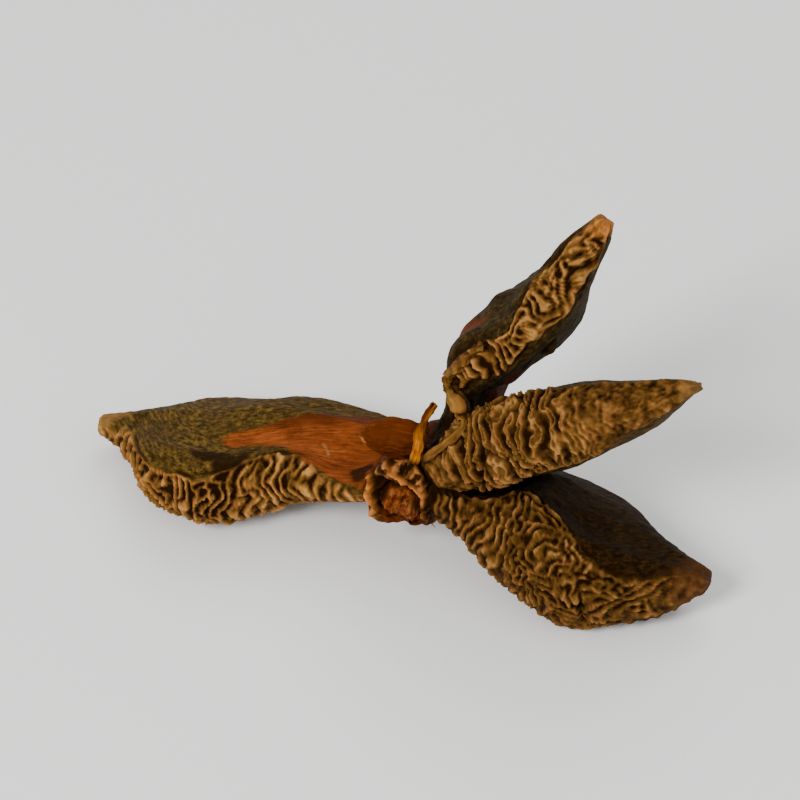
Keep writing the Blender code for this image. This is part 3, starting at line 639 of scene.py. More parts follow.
class PodSkin:
    """A pod's smooth skin unrolled: where its points lie along it and round it, and where its band ends."""

    def __init__(self, name):
        self.pod = PODS[name]
        self.length = self.pod["reach"] - self.pod["root"]
        self.around = np.concatenate([HALF_AROUND, PLACES - HALF_AROUND[-2:0:-1]])
        self.s, self.place = np.meshgrid(np.linspace(0, 1, ROWS), self.around, indexing="ij")
        self.points = pod_skin(self.pod, self.s, self.place)
        self.x, self.y = unrolled(self.pod, self.points, self.s, self.place)
        self.flat = np.stack([self.x, self.y], -1)
        self.stray_x, self.stray_y = (
            STRAY[0] * wander(self.seed("stray") + axis, self.flat, STRAY[1])
            + TREMBLE[0] * wander(self.seed("tremble") + axis, self.flat, TREMBLE[1])
            for axis in (0, 1)
        )

    def seed(self, what):
        """The seed of one of the pod's random fields."""
        return self.pod["seed"] + SEEDS[what]

    def knots(self, table, otherwise=NOWHERE):
        """A row of knots of the pod, read at each point's share of the length."""
        return straight_through(self.pod.get(table, otherwise), self.s)

    def reach_of(self, side, x, level):
        """How far round the skin a place of the section lies, at distances x along the pod."""
        column = int(np.argmin(np.abs(self.around - (level if side == "over" else PLACES - level))))
        return np.interp(x, self.x[:, 0], np.abs(self.y[:, column]))

    def crease_of(self, side, x):
        """How far round the skin the band ends on one side, at distances x along the pod."""
        if "crease_" + side in self.pod:
            return straight_through(self.pod["crease_" + side], x / self.length)
        return self.reach_of(side, x, CREASE)

    def half_width(self, x, y):
        """The same, on the side that y is on."""
        return np.where(y > 0, self.crease_of("over", x), self.crease_of("under", x))

    def along_line(self, line, width, stray=0.0):
        """1 on a line of (along, round) corners, falling away over its half width."""
        away = line_distance(line, self.x + stray * self.stray_x, self.y + stray * self.stray_y)
        return bell(away / width)

    def ripples(self):
        """The wrinkles' field at each point: one set and a finer one, bent and of uneven strength."""

        def grown(what, pitch, rounds):
            return Wrinkles(self.seed(what), pitch, self.half_width, lie, loops, rounds)

        def lie(x):
            return straight_through(self.pod["lie"], x / self.length)

        def loops(x):
            return straight_through(self.pod.get("loops", NOWHERE), x / self.length)

        coarse = grown("wrinkles", self.pod["pitch"], WRINKLE_ROUNDS)
        finer = grown("finer", FINER_PITCH * self.pod["pitch"], FINER_ROUNDS)
        ripple = coarse.at(self.x + self.stray_x, self.y + self.stray_y)
        strength = 1 + 0.35 * wander(self.seed("strength"), self.flat, 1.5)
        ripple = ripple * strength + 0.2 * wander(self.seed("offset"), self.flat, 1.3)
        fine_ripple = finer.at(self.x + FINER_STRAY * self.stray_y, self.y + FINER_STRAY * self.stray_x)
        fine = self.knots("fine", FINE_SHARE)
        return ripple * np.clip(1.35 - fine, 0.25, 1) + np.minimum(fine, 1.0) * fine_ripple

    def flanks(self, crease_at):
        """How hollow the flanks are, where their skin is smooth and red, and where painted shade darkens it.
        """
        hollow, facet, shade = 0 * self.s, 0 * self.s, 0 * self.s
        off = np.abs(self.y + FACET_STRAY * self.stray_x)
        for side, here in (("over", self.y > 0), ("under", self.y < 0)):
            wide = np.maximum(self.reach_of(side, self.x, LIPS) - crease_at, 0.5)
            t = np.clip((np.abs(self.y) - crease_at) / wide, 0, 1)
            most = self.pod.get("flatten_" + side, 0.0)
            hollow = hollow + here * most * 4 * t * (1 - t) * ends_fade(self.s, 0.14)
            if "facet_" + side in self.pod:
                edges = self.pod["facet_" + side]
                low, high = (straight_through(edge, self.s) for edge in edges)
                last = edges[0][-1][0]
                on = smoothstep(-0.15, 0.15, off - low) * (1 - smoothstep(-0.2, 0.2, off - high))
                facet = facet + here * on * (1 - smoothstep(last - 0.05, last, self.s))
                shade = shade + here * smoothstep(*self.pod.get("facet_shade", FACET_SHADE), off)
        return hollow, facet, shade

    def dark_patches(self):
        """Strength of the dark patches on the flanks: blotches, and painted shade below the plate."""
        pits = 0 * self.s
        for at, off, long, wide, strength in self.pod.get("pits", ()):
            pits = np.maximum(pits, strength * bell((self.x - at) / long, (self.y - off) / wide))
        return np.clip(pits * (0.6 + 0.5 * grit(self.seed("pits"), self.points, 0.7)), 0, 1)

    def worn(self):
        """How rubbed and pale the skin is, at the pod's end and along scratches."""
        starts, strength = self.pod["tip"]
        s = self.s + 0.02 * grit(self.seed("tip"), self.points, 1.0)
        scratches = 0 * self.s
        for line in self.pod.get("scratches", ()):
            scratches = np.maximum(scratches, self.along_line(line, SCRATCH_WIDTH))
        return np.maximum(strength * smoothstep(starts - 0.03, starts + 0.03, s), scratches)


def pod_surface(name, settings):
    """A pod's finished skin as rings of points, and what its bark needs to know at each point."""
    skin = PodSkin(name)
    pod, s, x, y = skin.pod, skin.s, skin.x, skin.y
    from_keel = np.minimum(skin.place, PLACES - skin.place)
    outside = 1 - smoothstep(*BARK_ENDS, from_keel)
    ripple = skin.ripples()
    crease_at = skin.half_width(x, y)
    past_crease = np.abs(y + CREASE_STRAY * skin.stray_y) - crease_at
    band = 1 - smoothstep(-0.2, 0.15, past_crease)
    hollow, facet, shade = skin.flanks(crease_at)

    welts = 0 * s
    for line, width, height in pod.get("welts", ()):
        welts = np.maximum(welts, height * skin.along_line(line, width, WELT_STRAY))
    crumb = grit(skin.seed("crumb"), skin.points, CRUMB_SIZE)
    calm = skin.knots("calm", EVERYWHERE)
    crest = 0.48 + 0.5 * calm * ripple
    split = 0.5 * smoothstep(0.45, 0.68, crest) - 1.25 * smoothstep(0.7, 0.92, crest)
    crest = crest + skin.knots("twin") * split
    crest = np.clip(crest + (0.3 - 0.16 * calm) * crumb + 1.6 * welts, 0, 1)

    depth = skin.knots("depth")
    folds = (depth * (1.15 * crest**1.5 - 0.5) + CRUMB_HEIGHT * crumb) * band * settings.wrinkle_depth
    lumps = LUMP_HEIGHT * wander(skin.seed("lumps"), skin.points, LUMP_SIZE) * outside
    lumps = lumps + swelling(pod, s, skin.place) + welts
    cracks = 0 * s
    for line, width, deep in pod.get("cracks", ()):
        crack = skin.along_line(line, width, CRACK_STRAY)
        lumps = lumps - deep * crack
        cracks = np.maximum(cracks, crack)
    near = closeness(name, skin.points) * outside
    scurf = grit(skin.seed("scurf"), np.stack([SCURF_LENGTHWISE * x, y, 0 * x], -1), SCURF_SIZE)
    grain = (1 - band * 0.6) * outside * settings.flank_depth / MM * (scurf + 0.5 * ripple * (1 - band))
    # The crease is dented into the skin, and painted shade darkens it too.
    groove_and_shade = bell((past_crease - CREASE_OFF) / CREASE_WIDTH) * smoothstep(0.05, 0.2, depth)
    groove_and_shade = groove_and_shade * smoothstep(-0.6, 0.6, wander(skin.seed("groove_and_shade"), skin.flat, 2.0))
    relief = lumps + folds + grain - CREASE_DEPTH * groove_and_shade - TOUCH_DEPTH * near - hollow
    points = skin.points + outward_normals(skin.points) * relief[..., None]
    facts = {
        "crest": crest,
        "band": band,
        # Painted shade: dark in the crease, the cracks, the dark patches and where other pieces are near.
        "groove_and_shade": np.clip(np.maximum(np.maximum(groove_and_shade + skin.dark_patches(), cracks), near), 0, 1),
        "inside": smoothstep(*LINING_STARTS, from_keel),
        "worn": skin.worn(),
        "facet": facet,
        "shade": shade,
        "grain": np.stack([x, y, pod["seed"] + 0 * x], -1),
    }
    return points, facts


def capped(points, facts, rows):
    """The rings with rounded ends added, and the facts to match."""
    roundness = 0.3

    def cap(ring, inner):
        middle = ring.mean(axis=0)
        out = unit(middle - inner.mean(axis=0))
        size = np.sqrt(np.mean(np.sum((ring - middle) ** 2, axis=-1)))
        turns = np.linspace(0, math.pi / 2, rows + 1)[1:]
        return [middle + (ring - middle) * math.cos(t) + out * size * roundness * math.sin(t) for t in turns]

    first, last = cap(points[0], points[1]), cap(points[-1], points[-2])
    points = np.concatenate([first[::-1], points, last])
    padded = {
        name: np.concatenate([value[:1]] * rows + [value] + [value[-1:]] * rows)
        for name, value in facts.items()
    }
    return points, padded


def make_piece(name, points, facts, material):
    """A closed mesh object through rings of points, with a fact on each point for its material."""
    points = points.copy()
    points[..., 2] = np.maximum(points[..., 2], 0)
    rows, around = points.shape[:2]
    inner = points[1:-1].reshape(-1, 3)
    poles = [points[0].mean(axis=0), points[-1].mean(axis=0)]
    verts = np.concatenate([inner, poles]) * MM
    count = rows - 2
    ring = np.arange(around)
    after = (ring + 1) % around
    base = (np.arange(count - 1) * around)[:, None]
    above = base + around
    quads = np.stack([base + ring, base + after, above + after, above + ring], -1).reshape(-1, 4)
    start, end = count * around, count * around + 1
    last_ring = (count - 1) * around
    first = np.stack([after, ring, np.full(around, start)], -1)
    last = np.stack([last_ring + ring, last_ring + after, np.full(around, end)], -1)
    data = bpy.data.meshes.new(name)
    corners = np.concatenate([quads.ravel(), first.ravel(), last.ravel()])
    sizes = np.concatenate([np.full(len(quads), 4), np.full(2 * around, 3)])
    starts = np.concatenate([[0], np.cumsum(sizes)[:-1]])
    data.vertices.add(len(verts))
    data.vertices.foreach_set("co", verts.astype(np.float32).ravel())
    data.loops.add(len(corners))
    data.loops.foreach_set("vertex_index", corners.astype(np.int32))
    data.polygons.add(len(sizes))
    data.polygons.foreach_set("loop_start", starts.astype(np.int32))
    data.polygons.foreach_set("use_smooth", np.ones(len(sizes), bool))
    data.update(calc_edges=True)
    data.validate()
    for fact, value in facts.items():
        ends = [value[0, 0].ravel(), value[-1, 0].ravel()]
        value = np.concatenate([value[1:-1].reshape(count * around, -1), ends])
        kind, field = ("FLOAT", "value") if value.shape[1] == 1 else ("FLOAT_VECTOR", "vector")
        stored = data.attributes.new(fact, kind, "POINT")
        stored.data.foreach_set(field, value.astype(np.float32).ravel())
    data.materials.append(material)
    piece = bpy.data.objects.new(name, data)
    bpy.context.scene.collection.objects.link(piece)
    return piece


def settle(piece):
    """The piece rides on the frame's body and stands for the solid node."""
    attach(piece, BODY)
    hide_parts(NODE)


class Nodes:
    """Short ways to add and join shader nodes."""

    # The range in which most of a noise lies, and the colour sockets of a Mix node.
    NOISE_RANGE = (0.3, 0.7)
    MIX_A, MIX_B, MIX_RESULT = 6, 7, 2
    SHINE, RELIEF_STRENGTH = 0.1, 0.8

    def __init__(self, material):
        material.use_nodes = True
        self.tree = material.node_tree
        self.surface = self.tree.nodes["Principled BSDF"]

    def put(self, socket, value):
        """Links a socket, or sets its value."""
        if isinstance(value, bpy.types.NodeSocket):
            self.tree.links.new(value, socket)
        else:
            socket.default_value = value

    def add(self, kind, **values):
        """A node with its settings and sockets given by name."""
        node = self.tree.nodes.new(kind)
        for name, value in values.items():
            if hasattr(node, name):
                setattr(node, name, value)
            else:
                self.put(node.inputs[name.replace("_", " ")], value)
        return node

    def fact(self, name, vector=False):
        """What the mesh knows at each point."""
        node = self.add("ShaderNodeAttribute", attribute_name=name)
        return node.outputs["Vector" if vector else "Fac"]

    def noise(self, at, scale, detail=3.0, rough=0.55, distortion=0.0):
        node = self.add("ShaderNodeTexNoise", Vector=at, Scale=scale, Detail=detail, Roughness=rough)
        node.inputs["Distortion"].default_value = distortion
        return node.outputs["Fac"]

    def maths(self, operation, a, b=0.0):
        node = self.add("ShaderNodeMath", operation=operation)
        self.put(node.inputs[0], a)
        self.put(node.inputs[1], b)
        return node.outputs[0]

    def spread(self, value, low, high, to_low=0.0, to_high=1.0):
        """The value brought from one range to another, and kept within it."""
        node = self.add("ShaderNodeMapRange", clamp=True)
        for socket, setting in zip(node.inputs[:5], (value, low, high, to_low, to_high)):
            self.put(socket, setting)
        return node.outputs["Result"]

    def swing(self, noise, least, most):
        """A noise brought to the range between two numbers."""
        return self.spread(noise, *self.NOISE_RANGE, least, most)

    def varied(self, value, noise, least, most):
        """The value with a noise added, brought to the range between two numbers."""
        return self.maths("ADD", value, self.swing(noise, least, most))

    def mix(self, share, a, b):
        node = self.add("ShaderNodeMix", data_type="RGBA")
        self.put(node.inputs["Factor"], share)
        self.put(node.inputs[self.MIX_A], a)
        self.put(node.inputs[self.MIX_B], b)
        return node.outputs[self.MIX_RESULT]

    def ramp(self, value, stops):
        """The colour at a value, between stops of (place, colour)."""
        node = self.add("ShaderNodeValToRGB")
        self.put(node.inputs["Fac"], value)
        elements = node.color_ramp.elements
        while len(elements) < len(stops):
            elements.new(0.5)
        for element, (place, colour) in zip(elements, stops):
            element.position, element.color = place, colour
        return node.outputs["Color"]

    def stretched(self, vector, factors):
        """The vector with each part multiplied by its own factor."""
        node = self.add("ShaderNodeVectorMath", operation="MULTIPLY")
        self.put(node.inputs[0], vector)
        node.inputs[1].default_value = factors
        return node.outputs[0]

    def roughen(self, roughness, tint, height, relief):
        """The weak, tinted shine and the fine relief of all the bark and wood."""
        self.put(self.surface.inputs["Roughness"], roughness)
        self.surface.inputs["Specular IOR Level"].default_value = self.SHINE
        self.surface.inputs["Specular Tint"].default_value = tint
        bump = self.add("ShaderNodeBump", Height=height, Strength=self.RELIEF_STRENGTH, Distance=relief)
        self.put(self.surface.inputs["Normal"], bump.outputs["Normal"])


def rgb(red, green, blue):
    """An opaque colour."""
    return (red, green, blue, 1.0)


def tinted(colour, by):
    """A colour made lighter or darker, by one number or by one for each channel."""
    return rgb(*(np.array(colour[:3]) * by))


# The noises of the bark: scale per metre, detail and roughness. Those that follow the grain are stretched by
# these factors along the pod, round it and from pod to pod.
CLOUD, PATCH, SPECK = (380.0, 4.0, 0.6), (1100.0, 3.0, 0.6), (2600.0, 4.0, 0.75)
FLECK_GRAIN, STREAK_GRAIN, FIBRE_GRAIN = (2.6, 4.2, 1.0), (0.7, 6.5, 1.0), (0.9, 9.0, 1.0)

# How deep the finest relief is, that only the shader shows.
BARK_RELIEF, WOOD_RELIEF = 0.07 * MM, 0.05 * MM


class BarkNodes(Nodes):
    """The nodes of a pod's bark: the noises that all of it shares, and the colour of each kind of skin."""

    def __init__(self, material, settings, pod):
        super().__init__(material)
        self.settings, self.pod = settings, pod
        here = self.add("ShaderNodeTexCoord").outputs["Object"]
        self.grain = self.fact("grain", vector=True)
        self.cloud = self.noise(here, *CLOUD)
        self.patch = self.noise(here, *PATCH)
        self.speck = self.noise(here, *SPECK)
        self.fleck = self.noise(self.stretched(self.grain, FLECK_GRAIN), 1.0, 4.0, 0.7)
        self.streak = self.noise(self.stretched(self.grain, STREAK_GRAIN), 1.0, 4.0, 0.65, 0.3)

    def band(self):
        """The wrinkled keel: painted shade in its furrows, tan slopes, and rubbed crests with a painted
        highlight.
        """
        tan = tinted(self.settings.crest_colour, self.pod["band_tone_and_lighting"])
        dull_tan, bright_tan = tinted(tan, (0.74, 0.8, 0.7)), tinted(tan, (1.15, 1.05, 1.3))
        # The highest crests take the worn colour: rubbed bark and a painted highlight.
        rubbed_and_highlight = tinted(self.settings.worn_and_highlight_colour, self.pod["band_tone_and_lighting"])
        crest = self.varied(self.fact("crest"), self.speck, -0.13, 0.13)
        crest = self.varied(crest, self.cloud, -0.16, 0.12)
        # Low in the wrinkles the colour goes to near-black: painted shade in the furrows.
        low = self.ramp(crest, [(0.06, self.settings.furrow_shade_colour), (0.4, tinted(tan, 0.4))])
        high = self.mix(self.spread(self.patch, 0.42, 0.6), dull_tan, bright_tan)
        colour = self.mix(self.spread(crest, 0.4, 0.76), low, high)
        return self.mix(self.spread(crest, 0.76, 1.05), colour, rubbed_and_highlight)

    def flanks(self):
        """The dull, mottled sides."""
        # The pod's flank tone is partly its own colour and partly painted light and shade for how the pod is
        # lit.
        tone = self.pod["flank_tone_and_lighting"]
        mottle = self.varied(self.fleck, self.speck, -0.14, 0.14)
        colour = self.ramp(mottle, [(0.36, tinted(tone, 0.3)), (0.5, rgb(*tone)), (0.66, tinted(tone, 2.5))])
        return self.mix(self.spread(self.cloud, 0.35, 0.65, 0.0, 0.5), colour, tinted(tone, 0.6))

    def red_skin(self):
        """The smooth skin beside the keel, streaked along the pod, darker near the hub and in its shade."""
        dark = self.settings.facet_dark
        from_hub = self.add("ShaderNodeSeparateXYZ", Vector=self.grain).outputs["X"]
        fibre = self.noise(self.stretched(self.grain, FIBRE_GRAIN), 1.0, 3.0, 0.6, 0.6)
        streaks = self.maths("MULTIPLY", self.maths("ADD", self.streak, fibre), 0.5)
        stops = [
            (0.3, self.settings.furrow_shade_colour), (0.42, dark), (0.56, self.settings.facet_colour),
            (0.74, self.settings.facet_pale),
        ]
        colour = self.ramp(self.varied(streaks, self.cloud, -0.14, 0.12), stops)
        colour = self.mix(self.spread(from_hub, 0.6, 4.0, 0.75, 0.0), colour, dark)
        return self.mix(self.fact("shade"), colour, tinted(dark, 0.6))


def bark(name, settings, pod):
    """Dried bark: a wrinkled band, mottled flanks, red skin, a smooth lining, worn ends and painted shade in
    grooves.
    """
    material = bpy.data.materials.new(name)
    nodes = BarkNodes(material, settings, pod)
    speck, fleck, streak = nodes.speck, nodes.fleck, nodes.streak
    colour = nodes.mix(nodes.fact("band"), nodes.flanks(), nodes.band())
    smooth = nodes.maths("MULTIPLY", nodes.fact("facet"), nodes.spread(fleck, 0.3, 0.5, 0.45, 1.0))
    colour = nodes.mix(smooth, colour, nodes.red_skin())
    lining = nodes.ramp(streak, [(0.3, settings.inner_dark), (0.65, settings.inner_colour)])
    colour = nodes.mix(nodes.fact("inside"), colour, lining)
    worn = nodes.maths("MULTIPLY", nodes.fact("worn"), nodes.spread(speck, 0.3, 0.6, 0.4, 1.0))
    colour = nodes.mix(worn, colour, rgb(*pod.get("tip_tone", settings.worn_and_highlight_colour[:3])))
    # Painted shade in the crease, cracks, dark patches and between pieces, towards near-black.
    groove_and_shade = nodes.spread(nodes.fact("groove_and_shade"), 0.1, 1.0, 0.0, 0.9)
    nodes.put(nodes.surface.inputs["Base Color"], nodes.mix(groove_and_shade, colour, settings.furrow_shade_colour))
    height = nodes.maths("ADD", nodes.maths("MULTIPLY", speck, 1.2), nodes.maths("ADD", fleck, streak))
    nodes.roughen(nodes.swing(speck, 0.62, 0.9), settings.crest_colour, height, BARK_RELIEF)
    return material


def torn_wood(name, settings, colour, dark):
    """Broken woody tissue: fibrous, orange brown, paler at its edges."""
    material = bpy.data.materials.new(name)
    nodes = Nodes(material)
    here = nodes.add("ShaderNodeTexCoord").outputs["Object"]
    grain = nodes.fact("grain", vector=True)
    cloud = nodes.noise(here, 600.0, 4.0, 0.6)
    speck = nodes.noise(here, 3600.0, 3.0, 0.7)
    fibre = nodes.noise(nodes.stretched(grain, (0.8, 7.0, 7.0)), 1.0, 4.0, 0.65, 0.2)
    light = tinted(colour, (2.3, 3.0, 3.2))
    tone = nodes.ramp(nodes.varied(fibre, cloud, -0.15, 0.15), [(0.28, dark), (0.55, colour), (0.85, light)])
    # Paler at the torn edges; on the keel root, a painted highlight along its bead and knob.
    tone = nodes.mix(nodes.fact("worn"), tone, settings.pale_colour)
    tone = nodes.mix(nodes.fact("faded"), tone, nodes.mix(cloud, dark, tinted(dark, 0.5)))
    # Painted shade at the slivers' feet, beside the keel root's bead, in its folds and at the hub.
    tone = nodes.mix(nodes.spread(nodes.fact("groove_and_shade"), 0.0, 1.0, 0.0, 0.9), tone, settings.furrow_shade_colour)
    nodes.put(nodes.surface.inputs["Base Color"], tone)
    height = nodes.maths("ADD", nodes.maths("MULTIPLY", speck, 0.4), fibre)
    nodes.roughen(nodes.swing(fibre, 0.5, 0.75), settings.crest_colour, height, WOOD_RELIEF)
    return material


# The hub's rings and the points round it.
HUB_ROWS, HUB_AROUND = 170, 200

# Where the hub's parts set in, along its axis and then by distance from it.
RIM_START, RIDGE_START, SCAR_START = (1.9, 2.6), (1.8, 2.4), (2.0, 2.4)
RIM_FROM, SCAR_TO, WIDENED_FROM, SHIFTED_TO = (1.02, 1.3), (0.85, 1.0), (0.9, 1.6), (0.9, 1.7)

# The moat round the scar, how the rim is roughened, lowered and pushed up and out by its lumps, and how its
# ridges are bent (distance, size of the waves) and uneven.
MOAT_RADIUS, MOAT_WIDTH, MOAT_DEPTH = 0.98, 0.12, 0.12
RIM_ROUGHNESS, RIM_LOWERED, TOP_LOWERED = 0.17, 0.2, 0.2
LUMPS_UP, LUMPS_OUT = 1.2, 0.4
RIDGE_BEND, RIDGE_UNEVEN = (0.07, 0.7), 0.3

# The seeds of the hub's random fields.
HUB_SEEDS = {
    "bend": (71, 72), "ridges": 73, "rim": 61, "rim fibres": 62, "crackle": 63, "scar": 64, "side": 65,
    "lumps": 8,
}


def hub_rings():
    """The hub's profile turned round its axis, and how far it is hollowed where pods are torn off."""
    knots = np.array(HUB_PROFILE, float)
    along = np.linspace(0, len(knots) - 1, HUB_ROWS)[:, None]
    places = range(len(knots))
    bearing = np.arange(HUB_AROUND)[None, :] * (360 / HUB_AROUND) + 0 * along
    axial = smooth_through(list(zip(places, knots[:, 0])), along) + 0 * bearing
    radius = smooth_through(list(zip(places, knots[:, 1])), along) + 0 * bearing
    ragged = 0 * bearing
    for torn in TORN_BEARINGS:
        off = (bearing - torn + 180) % 360 - 180
        ragged = np.maximum(ragged, bell(off / TORN_WIDTH))
    radius = radius - TORN_DEPTH * ragged * (1 - smoothstep(1.0, 2.2, axial))
    return bearing, axial, radius, ragged


def rim_relief(plane, axial):
    """How high and how pale the lumps and ridges of the rim are."""
    distance, size = RIDGE_BEND
    bent = plane + distance * np.stack([wander(seed, plane, size) for seed in HUB_SEEDS["bend"]], -1)
    uneven = 1 + RIDGE_UNEVEN * grit(HUB_SEEDS["ridges"], np.dstack([plane, axial]), 0.4)
    starts = smoothstep(*RIDGE_START, axial)
    lumps, pale = 0 * axial, 0 * axial
    for centre, size, height, light in RIM_LUMPS:
        lump = bell(np.linalg.norm(bent - centre, axis=-1) / size) * starts
        lumps = lumps + height * lump
        pale = np.maximum(pale, light * lump)
    for line, width, height, light in RIM_RIDGES:
        away = line_distance(line, bent[..., 0], bent[..., 1]) / width
        ridge = bell(away) * starts * uneven
        lumps = lumps + height * ridge
        pale = np.maximum(pale, light * ridge)
    return lumps, pale


def hub_surface():
    """The hub as rings round the axis: torn hollows along its sides, a lumpy rim and the scar's core."""
    bearing, axial, radius, ragged = hub_rings()
    rim = smoothstep(*RIM_FROM, radius) * smoothstep(*RIM_START, axial)
    core = (1 - smoothstep(*SCAR_TO, radius)) * smoothstep(*SCAR_START, axial)
    moat = bell((radius - MOAT_RADIUS) / MOAT_WIDTH) * smoothstep(*SCAR_START, axial)
    outer = smoothstep(*WIDENED_FROM, radius) * smoothstep(1.0, 2.4, axial)
    radius = radius * (1 + outer * (straight_through(RIM_REACH, bearing) / PROFILE_REACH - 1))
    plane = np.stack([radius * np.cos(np.radians(bearing)), radius * np.sin(np.radians(bearing))], -1)
    inner = (1 - smoothstep(*SHIFTED_TO, radius)) * smoothstep(1.6, 2.4, axial)
    plane = plane + inner[..., None] * (CORE_WIDER * plane + CORE_OFFSET)
    across, up = plane[..., 0], plane[..., 1]
    below = smoothstep(-0.7, -1.3, up) * (1 - smoothstep(0.7, 1.3, np.abs(across)))
    lumps, pale = rim_relief(plane, axial)

    radius, bearing = np.hypot(across, up), np.degrees(np.arctan2(up, across))
    spot = star_point(bearing, radius, axial)
    radial_fibres = np.dstack([1.6 * plane / np.maximum(radius, 0.3)[..., None], 0.35 * radius])
    rough = 0.6 * grit(HUB_SEEDS["rim"], spot, 0.42, 4)
    rough = rough + 0.6 * grit(HUB_SEEDS["rim fibres"], radial_fibres, 0.3, 4)
    stringy = np.dstack([across - 0.3 * up, 0.3 * up, 0 * axial])
    crackle = 0.1 * grit(HUB_SEEDS["crackle"], stringy, 0.22) + 0.1 * wander(HUB_SEEDS["scar"], plane, 1.1)
    side = (1 - rim) * (1 - core) * 0.06 * grit(HUB_SEEDS["side"], spot, 0.6)
    waves = 0.08 * wander(HUB_SEEDS["lumps"], spot, 1.1) * (radius > 0.5)
    radial = radius + waves + side + LUMPS_OUT * lumps * outer
    top = rim * np.clip(np.sin(np.radians(bearing)), 0, 1)
    height = axial + LUMPS_UP * lumps + rim * (RIM_ROUGHNESS * rough - RIM_LOWERED)
    height = height - TOP_LOWERED * top + core * crackle - MOAT_DEPTH * moat
    points = star_point(bearing, radial, height)
    # Painted shade: dark in the moat round the scar, and where the pods are near the hub.
    moat_shade = moat * (1 - pale) * smoothstep(-0.9, 0.3, up)
    close = closeness("hub", points) * (0.45 + 0.5 * smoothstep(0.5, 1.8, axial))
    facts = {
        "crest": np.clip(0.1 + 0.8 * rough + 1.1 * lumps, 0, 1),
        "rim": rim * (1 - 0.85 * below),
        "core": core,
        "groove_and_shade": np.maximum(moat_shade, close * (1 - 0.6 * pale) * (1 - 0.6 * rim)),
        "worn": np.clip(pale**2 * (0.85 + 0.7 * rough), 0, 1),
        "torn": ragged * (1 - smoothstep(1.4, 2.4, axial)),
        "grain": np.stack([axial, radius, bearing / 30], -1),
        "stringy": stringy,
    }
    return points, facts


def scar_wood(name, settings):
    """The hub: a lumpy pale rim round a red brown core, with torn fibres down the sides."""
    material = torn_wood(name, settings, settings.torn_colour, settings.torn_dark)
    nodes = Nodes(material)
    here = nodes.add("ShaderNodeTexCoord").outputs["Object"]
    speck = nodes.noise(here, 3000.0, 4.0, 0.7)
    before = nodes.surface.inputs["Base Color"].links[0].from_socket
    crest = nodes.varied(nodes.fact("crest"), speck, -0.25, 0.25)
    tan, pale = settings.crest_colour, settings.rim_colour
    # Lower on the rim's lumps the colour goes to near-black: painted shade in its hollows.
    rim = nodes.ramp(crest, [(0.15, settings.furrow_shade_colour), (0.5, tan), (0.9, pale)])
    rim = nodes.mix(nodes.fact("worn"), rim, tinted(pale, (1.45, 1.2, 1.0)))
    tone = nodes.mix(nodes.fact("rim"), before, rim)
    strings = nodes.noise(nodes.fact("stringy", vector=True), 4.5, 4.0, 0.7, 0.3)
    strings = nodes.varied(strings, speck, -0.15, 0.15)
    core = nodes.ramp(
        strings, [(0.36, settings.core_dark), (0.52, settings.core_colour), (0.72, tinted(pale, 0.7))]
    )
    tone = nodes.mix(nodes.fact("core"), tone, core)
    # Painted shade in the moat and where the pods are near.
    tone = nodes.mix(nodes.spread(nodes.fact("groove_and_shade"), 0.0, 1.0, 0.0, 0.95), tone, settings.furrow_shade_colour)
    nodes.put(nodes.surface.inputs["Base Color"], tone)
    return material


# A sliver's rings and the points round it, how high its fibres stand, how uneven its end is, and the folds
# across its creased part.
SLIVER_ROWS, SLIVER_AROUND = 64, 120
FIBRE_HEIGHT, RAGGED_END = 0.06, 0.22
FOLD_PITCH, FOLD_HEIGHT = 0.46, 0.09


